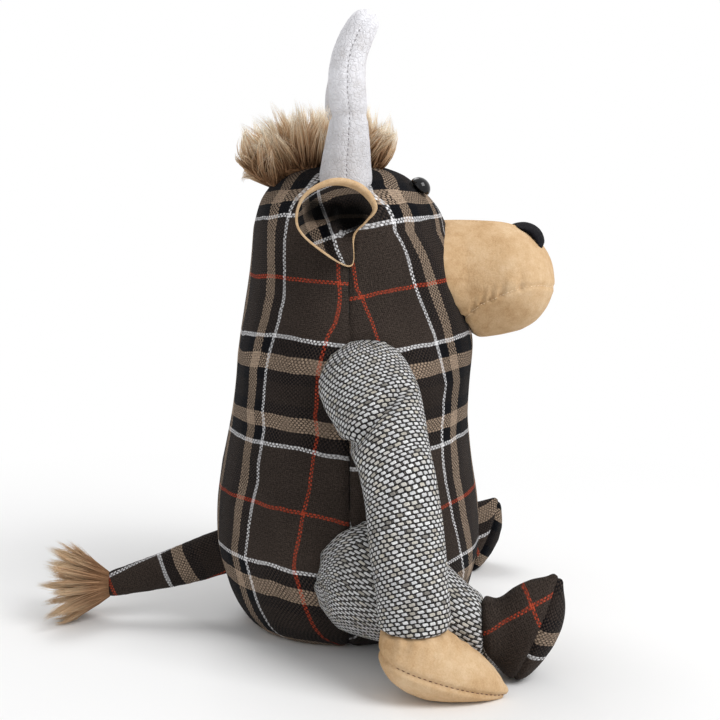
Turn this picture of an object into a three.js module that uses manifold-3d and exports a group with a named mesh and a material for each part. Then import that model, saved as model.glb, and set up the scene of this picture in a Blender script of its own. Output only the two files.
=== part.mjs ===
// Sitting cow door stop: a stuffed plaid and tweed animal with a bag of sand in its base.
// Millimetres, +Z up. The face looks along -Y and the animal's left side is +X.
// The origin is the middle of the base, on the floor.
import * as THREE from 'three';
import { mergeVertices } from 'three/addons/utils/BufferGeometryUtils.js';
import Module from 'manifold-3d';

const wasm = await Module();
wasm.setup();

// Cloth, felt and the clearance kept where two pieces are sewn or rest together
const SEAM_GAP = 0.3;
const PLAID_THICKNESS = 1.6;
const SUEDE_THICKNESS = 1.4;
const LINING_THICKNESS = 1.2;
const FELT_THICKNESS = 1.2;

// Body and head, one stuffed form. Each level gives its height above the floor and how far
// the skin reaches forwards, backwards and to each side of the middle.
const BASE_RADIUS = 50;
const HAUNCH = { height: 12, front: 66, back: 61.5, side: 63 };
const BELLY = { height: 50, front: 75, back: 72, side: 72 };
const RIBS = { height: 88, front: 70, back: 68, side: 68 };
const NECK = { height: 122, front: 67, back: 61, side: 61 };
const CHEEK = { height: 156, front: 71, back: 58, side: 59 };
const FACE = { height: 190, front: 65, back: 52, side: 58 };
const BROW = { height: 221, front: 54, back: 49, side: 55 };
const TEMPLE = { height: 236, front: 41, back: 42, side: 46 };
const CROWN_EDGE = { height: 246.5, front: 26, back: 28, side: 28 };
const CROWN_HEIGHT = 250.5;

// Sand bag, which stands on the base panel inside the fibre filling
const SAND_BAG_RADIUS = 53;
const SAND_BAG_HEIGHT = 88;
const SAND_BAG_CORNER = 12;

// Muzzle: its middle line is level, and each stop gives the reach above, below and to each side
const MUZZLE_HEIGHT = 188;
const MUZZLE_ROOT = { forward: 30, above: 31, below: 32, side: 31 };
const MUZZLE_SEAM = { forward: 62, above: 31.5, below: 34, side: 34 };
const MUZZLE_BULGE = { forward: 84, above: 31, below: 31.5, side: 38 };
const MUZZLE_ROUND = { forward: 100.5, above: 25, below: 26.5, side: 33 };
const MUZZLE_FRONT = { forward: 110.5, above: 12, below: 14, side: 19 };
const MUZZLE_TIP = 113;
// Line where the chin panel meets the upper panel, seen from the side
const CHIN_SEAM_BACK = { forward: 62, height: 167 };
const CHIN_SEAM_MIDDLE = { forward: 86, height: 182.5 };
const CHIN_SEAM_FRONT = { forward: 113, height: 183 };

// Felt nose, a patch with round corners, wider at its lower edge
const NOSE_WIDTH = 40;
const NOSE_TOP_WIDTH = 23;
const NOSE_LENGTH = 18;
const NOSE_CORNER = 5;
const NOSE_FORWARD = 95.5;
const NOSE_TILT = 45;

// Eyes: a glass-like button on a stem, held inside the head by a washer
const EYE_SPACING = 42;
const EYE_HEIGHT = 235;
const EYE_RADIUS = 5.4;
const EYE_DOME = 4.8;
const EYE_STEM_RADIUS = 2;
const EYE_STEM_LENGTH = 9;
const WASHER_RADIUS = 5.5;
const WASHER_THICKNESS = 1.2;
const WASHER_SEAT = 0.9;

// Horns: stops on the middle line of the left one, from inside the head to the tip
const HORN_ROOT = { out: 36, forward: -1, up: 229, radius: 14 };
const HORN_BASE = { out: 42, forward: -1, up: 243, radius: 13.2 };
const HORN_LOWER = { out: 44.5, forward: 0, up: 258, radius: 11.2 };
const HORN_CREASE = { out: 47, forward: 0.6, up: 270, radius: 9.4 };
const HORN_SWELL = { out: 49, forward: -0.6, up: 281, radius: 9.7 };
const HORN_MIDDLE = { out: 51, forward: -0.6, up: 291, radius: 9.3 };
const HORN_UPPER = { out: 53, forward: 1, up: 300, radius: 8.7 };
const HORN_BEND = { out: 55.5, forward: 5.2, up: 309, radius: 8.1 };
const HORN_TIP = { out: 58.5, forward: 11.5, up: 319, radius: 7 };

// Ears: points on the rim of the left one, which stands off the head like a scoop,
// and the bottom of the scoop, against the side seam
const EAR_FOOT = { out: 57, forward: 1, up: 196 };
const EAR_UNDERSIDE = { out: 67, forward: -15, up: 205 };
const EAR_BACK_CORNER = { out: 76, forward: -25, up: 216 };
const EAR_BACK = { out: 82, forward: -22, up: 229 };
const EAR_TOP = { out: 83, forward: -9, up: 236 };
const EAR_FRONT_TOP = { out: 79, forward: 4, up: 234 };
const EAR_FRONT = { out: 72, forward: 12, up: 225 };
const EAR_FRONT_FOOT = { out: 61, forward: 7, up: 210 };
const EAR_BOTTOM = { out: 60, forward: -4, up: 213 };
const EAR_ROUNDNESS = 1.9;

// Arms: stops on the middle line of the left one, from inside the shoulder to inside the hoof
const SHOULDER_ROOT = { out: 44, forward: 5, up: 140, radius: 21 };
const SHOULDER = { out: 58, forward: 7.5, up: 138, radius: 24 };
const SHOULDER_FOLD = { out: 73, forward: 13, up: 129, radius: 23 };
const UPPER_ARM = { out: 86, forward: 19, up: 112, radius: 18.6 };
const ELBOW = { out: 97, forward: 23.5, up: 89, radius: 18 };
const FOREARM = { out: 105, forward: 25.5, up: 66, radius: 18.3 };
const WRIST = { out: 112, forward: 28, up: 43, radius: 17.2 };
const HAND_TOP = { out: 117, forward: 28, up: 26, radius: 17 };
const HAND_MIDDLE = { out: 120, forward: 27, up: 14, radius: 13 };
const CUFF_HEIGHT = 31;

// Legs: stops on the middle line of the left one, from inside the hip to inside the foot
const HIP_ROOT = { out: 48, forward: 9, up: 43, radius: 29 };
const HIP = { out: 66, forward: 12, up: 43, radius: 33 };
const THIGH = { out: 77, forward: 27, up: 36, radius: 27 };
const KNEE = { out: 86, forward: 43, up: 29, radius: 21 };
const SHIN = { out: 91, forward: 56, up: 24, radius: 17.4 };
const ANKLE = { out: 94, forward: 67, up: 22, radius: 16.4 };
const FOOT_MIDDLE = { out: 97, forward: 79, up: 22, radius: 13 };
const ANKLE_SEAM = 3;

// Hooves: each stop gives its distance from the heel and the reach towards the limb, away from
// it to the sole, and to each side of the seam. A foot is shorter than a hand and has a high instep.
const HAND_BACK = { along: 3, above: 8, below: 5, side: 10 };
const HAND_PAD = { along: 12, above: 16, below: 12, side: 17 };
const HAND_BALL = { along: 28, above: 19, below: 14, side: 18 };
const HAND_FRONT = { along: 44, above: 15.5, below: 9.5, side: 14.5 };
const HAND_TOE = { along: 57, above: 9, below: 4.5, side: 8 };
const HAND_LENGTH = 66;
const FOOT_BACK = { along: 2.6, above: 9, below: 5, side: 10 };
const FOOT_PAD = { along: 10.4, above: 17, below: 8.5, side: 17 };
const FOOT_BALL = { along: 24, above: 23, below: 12, side: 18 };
const FOOT_FRONT = { along: 38, above: 19.5, below: 11.5, side: 15 };
const FOOT_TOE = { along: 49, above: 11, below: 6.5, side: 8.5 };
const FOOT_LENGTH = 56.5;
const HAND_HEEL = { out: HAND_TOP.out, forward: HAND_TOP.forward - 17.5, up: 22 };
const HAND_PITCH = -19;
const HAND_TOE_OUT = 4;
const FOOT_HEEL = { out: ANKLE.out, forward: ANKLE.forward + 10, up: -1 };
const FOOT_PITCH = { left: 61, right: 67 };
const FOOT_TOE_OUT = 9;
// The left foot has settled further into its leg than the right one
const LEFT_FOOT_SETTLED = { back: 3, down: 5 };

// Tail: stops on its middle line, from inside the body to the tuft; it is deeper than it is wide
const TAIL_INSIDE = { out: 0, forward: -58, up: 42, radius: 13.5 };
const TAIL_ROOT = { out: 0, forward: -72, up: 36, radius: 12.6 };
const TAIL_UPPER = { out: 0, forward: -90, up: 30, radius: 11.4 };
const TAIL_LOWER = { out: 0, forward: -110, up: 24.5, radius: 9.4 };
const TAIL_END = { out: 0, forward: -131, up: 19.5, radius: 7.4 };
const TAIL_PAST_END = 6;
const TAIL_FLATNESS = 0.68;

// Fur: the fringe stands on the crown in rows of pointed locks, the tuft fans out of the tail
const FRINGE_MIDDLE = -10;
const FRINGE_LENGTH = 54;
const FRINGE_WIDTH = 24;
const FRINGE_MOUND = 12;
const FRINGE_LOCK_LENGTH = 31;
const FRINGE_LOCK_RADIUS = 7.4;
const FRINGE_LOCKS_LONG = 8;
const FRINGE_LOCKS_WIDE = 3;
const FRINGE_LEAN_BACK = 62;
const FRINGE_LEAN_FORWARD = 12;
const TUFT_LOCK_LENGTH = 34;
const TUFT_LOCK_RADIUS = 5.6;
const TUFT_LOCKS = 6;
const TUFT_SPREAD = [0, 15, 33];
const TUFT_DROOP = 4;
// A lock's outline: share of its length from the root, and share of its radius
const LOCK_OUTLINE = [[0, 0], [0, 0.7], [0.35, 1], [0.7, 0.62], [1, 0]];
const LOCK_SIDES = 5;

// How finely each form is divided, around and along
const BODY_GRID = { around: 28, along: 17 };
const MUZZLE_GRID = { around: 18, along: 10 };
const LIMB_GRID = { around: 14, along: 14 };
const HOOF_GRID = { around: 12, along: 10 };
const EAR_GRID = { around: 18, along: 8 };
const ROUND_SIDES = 16;

const BEYOND = 900;
const CUT_TOLERANCE = 0.04;
const UP = new THREE.Vector3(0, 0, 1);
const ACROSS = new THREE.Vector3(1, 0, 0);
const FORWARD = new THREE.Vector3(0, -1, 0);
const LEFT = 1;
const RIGHT = -1;
const SIDES = { left: LEFT, right: RIGHT };

const cloth = (color) => new THREE.MeshStandardMaterial({ color, roughness: 0.95, metalness: 0 });
const plaid = cloth(0x2f2723);
const tweed = cloth(0x9d998d);
const suede = cloth(0xcb9a62);
const hornSuede = cloth(0xcfc9c9);
const felt = cloth(0x111216);
const fur = cloth(0x8a6c4d);
const fibre = cloth(0xf2f0ea);
const canvas = cloth(0xb9a88a);
const button = new THREE.MeshStandardMaterial({ color: 0x0a0c10, roughness: 0.08, metalness: 0 });
const washerPlastic = new THREE.MeshStandardMaterial({ color: 0xdedede, roughness: 0.5, metalness: 0 });

// A place given as out to the animal's side, forward and up
function place({ out, forward, up }, side = LEFT) {
  return new THREE.Vector3(side * out, -forward, up);
}

// A curve that passes through the same list of stops whatever it carries, so that two of
// them stay in step
function throughStops(points) {
  return new THREE.CatmullRomCurve3(points, false, 'catmullrom', 0.5);
}

// The grid of a sphere, laid over surface(around, along), with both from 0 to 1
function wrap(surface, grid) {
  const geometry = new THREE.SphereGeometry(1, grid.around, grid.along);
  const { position, uv } = geometry.attributes;
  for (let i = 0; i < position.count; i++) {
    const point = surface(uv.getX(i), uv.getY(i));
    position.setXYZ(i, point.x, point.y, point.z);
  }
  return welded(geometry);
}

function welded(geometry) {
  const bare = geometry.clone();
  bare.deleteAttribute('normal');
  bare.deleteAttribute('uv');
  return mergeVertices(bare, 1e-4);
}

// A copy of a closed geometry with every corner moved outwards along its normal
function grown(geometry, distance) {
  const copy = welded(geometry);
  copy.computeVertexNormals();
  const { position, normal } = copy.attributes;
  for (let i = 0; i < position.count; i++) {
    position.setXYZ(
      i,
      position.getX(i) + normal.getX(i) * distance,
      position.getY(i) + normal.getY(i) * distance,
      position.getZ(i) + normal.getZ(i) * distance,
    );
  }
  copy.deleteAttribute('normal');
  return copy;
}

// Closed geometry to a solid that can be joined and cut, and back
function solidOf(geometry) {
  const closed = welded(geometry);
  return new wasm.Manifold(new wasm.Mesh({
    numProp: 3,
    vertProperties: new Float32Array(closed.attributes.position.array),
    triVerts: new Uint32Array(closed.index.array),
  }));
}

function geometryOf(solid) {
  const { vertProperties, triVerts } = solid.getMesh();
  const geometry = new THREE.BufferGeometry();
  geometry.setAttribute('position', new THREE.BufferAttribute(vertProperties, 3));
  geometry.setIndex(new THREE.BufferAttribute(triVerts, 1));
  return geometry;
}

const grownSolid = (geometry, distance) => solidOf(grown(geometry, distance));

// The largest body of a solid, without the crumbs that a cut can leave beside it
function mainBody(solid) {
  return solid.decompose().reduce((a, b) => (b.volume() > a.volume() ? b : a));
}

// Everything on one side of a plane, as a block too large for the object to reach past
function beyondPlane(point, direction) {
  const block = new THREE.BoxGeometry(BEYOND, BEYOND, BEYOND).translate(0, 0, BEYOND / 2);
  block.applyQuaternion(new THREE.Quaternion().setFromUnitVectors(UP, direction.clone().normalize()));
  return solidOf(block.translate(point.x, point.y, point.z));
}

// Stops in order, from the inner end to the outer one
const hornStops = [
  HORN_ROOT, HORN_BASE, HORN_LOWER, HORN_CREASE, HORN_SWELL, HORN_MIDDLE, HORN_UPPER, HORN_BEND, HORN_TIP,
];
const armStops = [
  SHOULDER_ROOT, SHOULDER, SHOULDER_FOLD, UPPER_ARM, ELBOW, FOREARM, WRIST, HAND_TOP, HAND_MIDDLE,
];
const legStops = [HIP_ROOT, HIP, THIGH, KNEE, SHIN, ANKLE, FOOT_MIDDLE];
const hoofStops = (back, pad, ball, front, toe, length) => [
  { along: 0, above: 0, below: 0, side: 0 },
  back, pad, ball, front, toe,
  { along: length, above: 0, below: 0, side: 0 },
];
const handStops = hoofStops(HAND_BACK, HAND_PAD, HAND_BALL, HAND_FRONT, HAND_TOE, HAND_LENGTH);
const footStops = hoofStops(FOOT_BACK, FOOT_PAD, FOOT_BALL, FOOT_FRONT, FOOT_TOE, FOOT_LENGTH);
const tailStops = [
  TAIL_INSIDE, TAIL_ROOT, TAIL_UPPER, TAIL_LOWER, TAIL_END,
  { ...TAIL_END, forward: TAIL_END.forward - TAIL_PAST_END },
];

const floor = beyondPlane(new THREE.Vector3(), UP.clone().negate());

// Sections with their own reach to each side of a straight middle line, which runs along +Z
function sectionCurves(stops, along, high, low) {
  const reach = throughStops(stops.map((s) => new THREE.Vector3(s[high], s[low], s.side)));
  const middle = throughStops(stops.map((s) => new THREE.Vector3(s[along], 0, 0)));
  return (around, t) => {
    const size = reach.getPoint(t);
    const turn = around * 2 * Math.PI;
    const depth = Math.sin(turn) > 0 ? size.x : size.y;
    return new THREE.Vector3(size.z * Math.cos(turn), depth * Math.sin(turn), middle.getPoint(t).x);
  };
}

// Body and head

const bodyLevels = [
  { height: 0, front: BASE_RADIUS, back: BASE_RADIUS, side: BASE_RADIUS },
  HAUNCH, BELLY, RIBS, NECK, CHEEK, FACE, BROW, TEMPLE, CROWN_EDGE,
  { height: CROWN_HEIGHT, front: 0, back: 0, side: 0 },
];
const bodySection = sectionCurves(bodyLevels, 'height', 'back', 'front');

function bodySurface(around, along) {
  const firstRow = 1 / BODY_GRID.along;
  if (along < firstRow / 2) return new THREE.Vector3();
  return bodySection(around, (along - firstRow) / (1 - firstRow));
}

const bodyForm = wrap(bodySurface, BODY_GRID);
const bodySolid = (offset) => grownSolid(bodyForm, offset);
const bodyOuter = bodySolid(0);
const bodyInner = bodySolid(-PLAID_THICKNESS);
const bodyClearance = bodySolid(SEAM_GAP);

// Height on the body's form, as a share of the way from the base to the crown
function levelAt(height) {
  let low = 0;
  let high = 1;
  while (high - low > 1e-6) {
    const half = (low + high) / 2;
    if (bodySection(0, half).z < height) low = half;
    else high = half;
  }
  return low;
}

// A point on the front of the body and the direction that the skin faces there
function onFront(x, height) {
  const level = levelAt(height);
  const side = bodySection(0, level).x;
  const around = -Math.acos(x / side) / (2 * Math.PI);
  const step = 1e-3;
  const point = bodySection(around, level);
  const alongSkin = bodySection(around, level + step).sub(point);
  const aroundSkin = bodySection(around + step, level).sub(point);
  return { point, facing: aroundSkin.cross(alongSkin).normalize() };
}

// Muzzle

const muzzleStops = [
  { ...MUZZLE_ROOT, forward: MUZZLE_ROOT.forward, above: 0, below: 0, side: 0 },
  { ...MUZZLE_ROOT, forward: MUZZLE_ROOT.forward + 4 },
  MUZZLE_SEAM, MUZZLE_BULGE, MUZZLE_ROUND, MUZZLE_FRONT,
  { forward: MUZZLE_TIP, above: 0, below: 0, side: 0 },
];

// A form modelled along +Z with its top towards +Y, turned to face forwards at a given height
function facingForward(geometry, height) {
  return geometry.rotateX(Math.PI / 2).translate(0, 0, height);
}

const muzzleForm = facingForward(
  wrap(sectionCurves(muzzleStops, 'forward', 'above', 'below'), MUZZLE_GRID),
  MUZZLE_HEIGHT,
);

// The space under the chin seam, as an extrusion across the whole muzzle
function underChinSeam(lift) {
  const corners = [CHIN_SEAM_BACK, CHIN_SEAM_MIDDLE, CHIN_SEAM_FRONT];
  const line = new THREE.SplineCurve(corners.map((c) => new THREE.Vector2(c.forward, c.height + lift)));
  const shape = new THREE.Shape();
  shape.moveTo(0, CHIN_SEAM_BACK.height + lift - CHIN_SEAM_BACK.forward * 0.6);
  line.getPoints(8).forEach((p) => shape.lineTo(p.x, p.y));
  shape.lineTo(BEYOND, CHIN_SEAM_FRONT.height + lift);
  shape.lineTo(BEYOND, 0);
  shape.lineTo(0, 0);
  shape.closePath();
  const slab = new THREE.ExtrudeGeometry(shape, { depth: BEYOND, bevelEnabled: false });
  slab.translate(0, 0, -BEYOND / 2);
  slab.applyMatrix4(new THREE.Matrix4().makeBasis(FORWARD, UP, ACROSS.clone().negate()));
  return solidOf(slab);
}

const muzzleSkin = solidOf(muzzleForm)
  .subtract(grownSolid(muzzleForm, -SUEDE_THICKNESS))
  .subtract(bodyClearance);
const muzzleChinPanel = muzzleSkin.intersect(underChinSeam(0));
const muzzleUpperPanel = muzzleSkin.subtract(underChinSeam(SEAM_GAP));
const muzzleFilling = grownSolid(muzzleForm, -SUEDE_THICKNESS - SEAM_GAP).subtract(bodyInner);
const muzzleOpening = grownSolid(muzzleForm, -SUEDE_THICKNESS);

// Nose: the felt lies on the muzzle, cut wider at its lower edge

function nosePatch() {
  const top = NOSE_TOP_WIDTH / 2;
  const low = NOSE_WIDTH / 2;
  const slant = ((low - top) * NOSE_CORNER) / NOSE_LENGTH;
  const shape = new THREE.Shape();
  shape.moveTo(-top + NOSE_CORNER, 0);
  shape.lineTo(top - NOSE_CORNER, 0);
  shape.quadraticCurveTo(top, 0, top + slant, -NOSE_CORNER);
  shape.lineTo(low - slant, -NOSE_LENGTH + NOSE_CORNER);
  shape.quadraticCurveTo(low, -NOSE_LENGTH, low - NOSE_CORNER, -NOSE_LENGTH);
  shape.lineTo(-low + NOSE_CORNER, -NOSE_LENGTH);
  shape.quadraticCurveTo(-low, -NOSE_LENGTH, -low + slant, -NOSE_LENGTH + NOSE_CORNER);
  shape.lineTo(-top - slant, -NOSE_CORNER);
  shape.quadraticCurveTo(-top, 0, -top + NOSE_CORNER, 0);
  const cutter = new THREE.ExtrudeGeometry(shape, {
    depth: MUZZLE_BULGE.above,
    bevelEnabled: false,
    curveSegments: 5,
  });
  cutter.translate(0, NOSE_LENGTH / 2, 0);
  cutter.rotateX(Math.PI / 2 - THREE.MathUtils.degToRad(NOSE_TILT));
  cutter.translate(0, -NOSE_FORWARD + MUZZLE_ROUND.above / 3, MUZZLE_HEIGHT + MUZZLE_ROUND.above / 2);
  return grownSolid(muzzleForm, SEAM_GAP + FELT_THICKNESS)
    .subtract(grownSolid(muzzleForm, SEAM_GAP))
    .intersect(solidOf(cutter));
}

// Eyes and their washers, modelled along +Z with the skin at z 0

function eyeGeometry() {
  const outline = [new THREE.Vector2(0, -EYE_STEM_LENGTH)];
  outline.push(new THREE.Vector2(EYE_STEM_RADIUS, -EYE_STEM_LENGTH));
  outline.push(new THREE.Vector2(EYE_STEM_RADIUS, SEAM_GAP));
  const domeSteps = 5;
  for (let i = 0; i <= domeSteps; i++) {
    const turn = (i / domeSteps) * (Math.PI / 2);
    outline.push(new THREE.Vector2(EYE_RADIUS * Math.cos(turn), SEAM_GAP + EYE_DOME * Math.sin(turn)));
  }
  outline[outline.length - 1].x = 0;
  return new THREE.LatheGeometry(outline, ROUND_SIDES).rotateX(Math.PI / 2);
}

function washerGeometry() {
  const inner = EYE_STEM_RADIUS + SEAM_GAP;
  const top = -PLAID_THICKNESS - WASHER_SEAT;
  const outline = [
    new THREE.Vector2(inner, top - WASHER_THICKNESS),
    new THREE.Vector2(WASHER_RADIUS, top - WASHER_THICKNESS),
    new THREE.Vector2(WASHER_RADIUS, top),
    new THREE.Vector2(inner, top),
    new THREE.Vector2(inner, top - WASHER_THICKNESS),
  ];
  return new THREE.LatheGeometry(outline, ROUND_SIDES).rotateX(Math.PI / 2);
}

// The room that the stem and washer take inside the head
function eyePocket() {
  const room = WASHER_RADIUS + SEAM_GAP;
  const stemRoom = EYE_STEM_RADIUS + SEAM_GAP;
  const washerFoot = -PLAID_THICKNESS - WASHER_SEAT - WASHER_THICKNESS - SEAM_GAP;
  const outline = [
    new THREE.Vector2(0, -EYE_STEM_LENGTH - SEAM_GAP),
    new THREE.Vector2(stemRoom, -EYE_STEM_LENGTH - SEAM_GAP),
    new THREE.Vector2(stemRoom, washerFoot),
    new THREE.Vector2(room, washerFoot),
    new THREE.Vector2(room, 0),
    new THREE.Vector2(0, 0),
  ];
  return new THREE.LatheGeometry(outline, ROUND_SIDES).rotateX(Math.PI / 2);
}

function eyeHole() {
  const hole = new THREE.CylinderGeometry(
    EYE_STEM_RADIUS + SEAM_GAP,
    EYE_STEM_RADIUS + SEAM_GAP,
    4 * PLAID_THICKNESS,
    ROUND_SIDES,
  );
  return hole.rotateX(Math.PI / 2);
}

function eyeSeat(side) {
  const { point, facing } = onFront((side * EYE_SPACING) / 2, EYE_HEIGHT);
  return { point, turn: new THREE.Quaternion().setFromUnitVectors(UP, facing) };
}

function seatedSolid(geometry, { point, turn }) {
  return solidOf(geometry.clone().applyQuaternion(turn).translate(point.x, point.y, point.z));
}

const eyeSeats = Object.values(SIDES).map(eyeSeat);

// Sand bag and filling

function sandBagGeometry() {
  const bottom = PLAID_THICKNESS + SEAM_GAP;
  const outline = new THREE.Path();
  outline.moveTo(0, bottom);
  outline.lineTo(SAND_BAG_RADIUS - SAND_BAG_CORNER, bottom);
  outline.absarc(SAND_BAG_RADIUS - SAND_BAG_CORNER, bottom + SAND_BAG_CORNER, SAND_BAG_CORNER,
    -Math.PI / 2, 0, false);
  outline.absarc(SAND_BAG_RADIUS - SAND_BAG_CORNER, bottom + SAND_BAG_HEIGHT - SAND_BAG_CORNER,
    SAND_BAG_CORNER, 0, Math.PI / 2, false);
  outline.lineTo(0, bottom + SAND_BAG_HEIGHT);
  return new THREE.LatheGeometry(outline.getPoints(3), ROUND_SIDES).rotateX(Math.PI / 2);
}

const sandBag = sandBagGeometry();
const bodyFilling = eyeSeats.reduce(
  (filling, seat) => filling.subtract(seatedSolid(eyePocket(), seat)),
  bodySolid(-PLAID_THICKNESS - SEAM_GAP).subtract(grownSolid(sandBag, SEAM_GAP)),
);

// Skin: a front and a back panel that meet at the side seams, and a round base panel

const bodySkin = bodyOuter.subtract(bodyInner);

function basePlug(radius) {
  const plug = new THREE.CylinderGeometry(radius, radius, HAUNCH.height, BODY_GRID.around);
  return solidOf(plug.rotateX(Math.PI / 2));
}

const baseSeam = BASE_RADIUS - PLAID_THICKNESS;
const basePanel = bodySkin.intersect(basePlug(baseSeam));
const wallSkin = bodySkin.subtract(basePlug(baseSeam + SEAM_GAP));
const seamEdge = (offset) => FORWARD.clone().multiplyScalar(offset);
const bodyBackPanel = wallSkin.subtract(beyondPlane(seamEdge(-SEAM_GAP / 2), FORWARD));
const bodyFrontPanel = eyeSeats.reduce(
  (panel, seat) => panel.subtract(seatedSolid(eyeHole(), seat)),
  wallSkin.intersect(beyondPlane(seamEdge(SEAM_GAP / 2), FORWARD)).subtract(muzzleOpening),
);

// A limb of varying thickness along a spine, with round ends. Its section keeps its upright
// turned to the given reference direction, and flatness narrows it across that direction.
function limbForm(stops, side, reference, { flatness = 1, startCap = 0.12, endCap = 0.12 } = {}) {
  const spine = throughStops(stops.map((stop) => place(stop, side)));
  const thickness = throughStops(stops.map((stop) => new THREE.Vector3(stop.radius, 0, 0)));
  const roundEnd = (share, cap) => (share < cap ? Math.sqrt(1 - (1 - share / cap) ** 2) : 1);
  return wrap((around, row) => {
    const along = (1 - Math.cos(row * Math.PI)) / 2;
    const centre = spine.getPoint(along);
    const direction = spine.getTangent(along);
    const sideways = reference.clone().cross(direction).normalize();
    const upright = direction.clone().cross(sideways);
    const radius = thickness.getPoint(along).x * roundEnd(along, startCap) * roundEnd(1 - along, endCap);
    const turn = around * 2 * Math.PI;
    return centre
      .addScaledVector(sideways, radius * flatness * Math.cos(turn))
      .addScaledVector(upright, radius * Math.sin(turn));
  }, LIMB_GRID);
}

// Horns

function horn(side) {
  return solidOf(limbForm(hornStops, side, FORWARD, { endCap: 0.075 })).subtract(bodyClearance);
}

// Ears: a scoop between its bottom and its rim, as an outer shell and a lining

const earRim = [
  EAR_FOOT, EAR_UNDERSIDE, EAR_BACK_CORNER, EAR_BACK, EAR_TOP, EAR_FRONT_TOP, EAR_FRONT, EAR_FRONT_FOOT,
];

function earScoop(side) {
  const rim = new THREE.CatmullRomCurve3(earRim.map((p) => place(p, side)), true, 'catmullrom', 0.5);
  const bottom = place(EAR_BOTTOM, side);
  return (around, share) => {
    const edge = rim.getPoint(((side === LEFT ? around : 1 - around) + 1) % 1);
    const point = bottom.clone().lerp(edge, share);
    point.x = bottom.x + (edge.x - bottom.x) * share ** EAR_ROUNDNESS;
    return point;
  };
}

// The scoop with a thickness, from one depth to another behind its hollow side
function earShell(side, nearDepth, farDepth) {
  const scoop = earScoop(side);
  const step = 1e-3;
  return wrap((around, along) => {
    const share = 1 - Math.abs(2 * along - 1);
    const depth = along < 0.5 ? farDepth : nearDepth;
    const reached = Math.max(share, 0.02);
    const point = scoop(around, share);
    const outwards = scoop(around, reached + step).sub(scoop(around, reached));
    const sideways = scoop(around + step, reached).sub(scoop(around, reached));
    const hollow = share === 0 ? ACROSS.clone().multiplyScalar(side) : sideways.cross(outwards).normalize();
    if (hollow.x * side < 0) hollow.negate();
    const behind = share === 1 ? (nearDepth + farDepth) / 2 : depth;
    return point.addScaledVector(hollow, -behind);
  }, EAR_GRID);
}

function earOuter(side) {
  const start = LINING_THICKNESS + SEAM_GAP;
  return solidOf(earShell(side, start, start + SUEDE_THICKNESS)).subtract(bodyClearance);
}

function earLining(side) {
  return solidOf(earShell(side, 0, LINING_THICKNESS)).subtract(bodyClearance);
}

// Hooves: an upper panel that carries on from the limb, and a sole panel under its seam

function hoofPlacement(stops, heel, side, pitch, toeOut) {
  const lift = THREE.MathUtils.degToRad(pitch);
  const swing = THREE.MathUtils.degToRad(toeOut);
  const toe = new THREE.Vector3(
    side * Math.sin(swing) * Math.cos(lift),
    -Math.cos(swing) * Math.cos(lift),
    Math.sin(lift),
  );
  const across = new THREE.Vector3().crossVectors(UP, toe).normalize();
  const instep = new THREE.Vector3().crossVectors(toe, across);
  return { stops, heel: place(heel, side), toe, across, instep };
}

function hoofForm({ stops, heel, toe, across, instep }) {
  const form = wrap(sectionCurves(stops, 'along', 'above', 'below'), HOOF_GRID);
  form.applyMatrix4(new THREE.Matrix4().makeBasis(across, instep, toe));
  return form.translate(heel.x, heel.y, heel.z);
}

// Cuts a limb at its cuff and gives the sleeve, the hoof's upper panel and its sole panel
function shodLimb(limb, cuffPoint, cuffDirection, placement) {
  const hoof = hoofForm(placement);
  const half = SEAM_GAP / 2;
  const shift = (distance) => cuffPoint.clone().addScaledVector(cuffDirection, distance);
  const limbSolid = solidOf(limb).subtract(bodyClearance).subtract(floor);
  const pastCuff = beyondPlane(shift(half), cuffDirection);
  const beforeCuff = beyondPlane(shift(-half), cuffDirection.clone().negate());
  const sole = beyondPlane(placement.heel, placement.instep.clone().negate());
  const lip = placement.heel.clone().addScaledVector(placement.instep, SEAM_GAP);
  const upper = beyondPlane(lip, placement.instep);
  const hoofSolid = solidOf(hoof).subtract(floor);
  const ankle = limbSolid.intersect(pastCuff).intersect(beyondPlane(placement.heel, placement.instep));
  return {
    sleeve: limbSolid.intersect(beforeCuff).subtract(grownSolid(hoof, SEAM_GAP)),
    upper: hoofSolid.subtract(beforeCuff).add(ankle).intersect(upper),
    sole: hoofSolid.intersect(sole),
  };
}

function arm(side) {
  const form = limbForm(armStops, side, FORWARD);
  const end = place({ ...WRIST, up: CUFF_HEIGHT }, side);
  const placement = hoofPlacement(handStops, HAND_HEEL, side, HAND_PITCH, HAND_TOE_OUT);
  return { form, ...shodLimb(form, end, UP.clone().negate(), placement) };
}

function leg(side, armParts) {
  const form = limbForm(legStops, side, UP);
  const end = place({ ...ANKLE, forward: ANKLE.forward - ANKLE_SEAM }, side);
  const pitch = side === LEFT ? FOOT_PITCH.left : FOOT_PITCH.right;
  const heel = side === RIGHT ? FOOT_HEEL : {
    out: FOOT_HEEL.out,
    forward: FOOT_HEEL.forward - LEFT_FOOT_SETTLED.back,
    up: FOOT_HEEL.up - LEFT_FOOT_SETTLED.down,
  };
  const placement = hoofPlacement(footStops, heel, side, pitch, FOOT_TOE_OUT);
  const handForm = hoofForm(hoofPlacement(handStops, HAND_HEEL, side, HAND_PITCH, HAND_TOE_OUT));
  const pressed = (solid) => solid
    .subtract(grownSolid(armParts.form, SEAM_GAP))
    .subtract(grownSolid(handForm, SEAM_GAP));
  const direction = new THREE.Vector3().copy(FORWARD).setX(side * 0.2).setZ(0.1).normalize();
  const { sleeve, upper, sole } = shodLimb(form, end, direction, placement);
  return { sleeve: pressed(sleeve), upper: pressed(upper), sole: pressed(sole) };
}

// Tail and fur

function tail() {
  const form = limbForm(tailStops, LEFT, UP, { flatness: TAIL_FLATNESS });
  const end = place(TAIL_END);
  return solidOf(form).subtract(bodyClearance).subtract(beyondPlane(end, FORWARD.clone().negate()));
}

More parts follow.
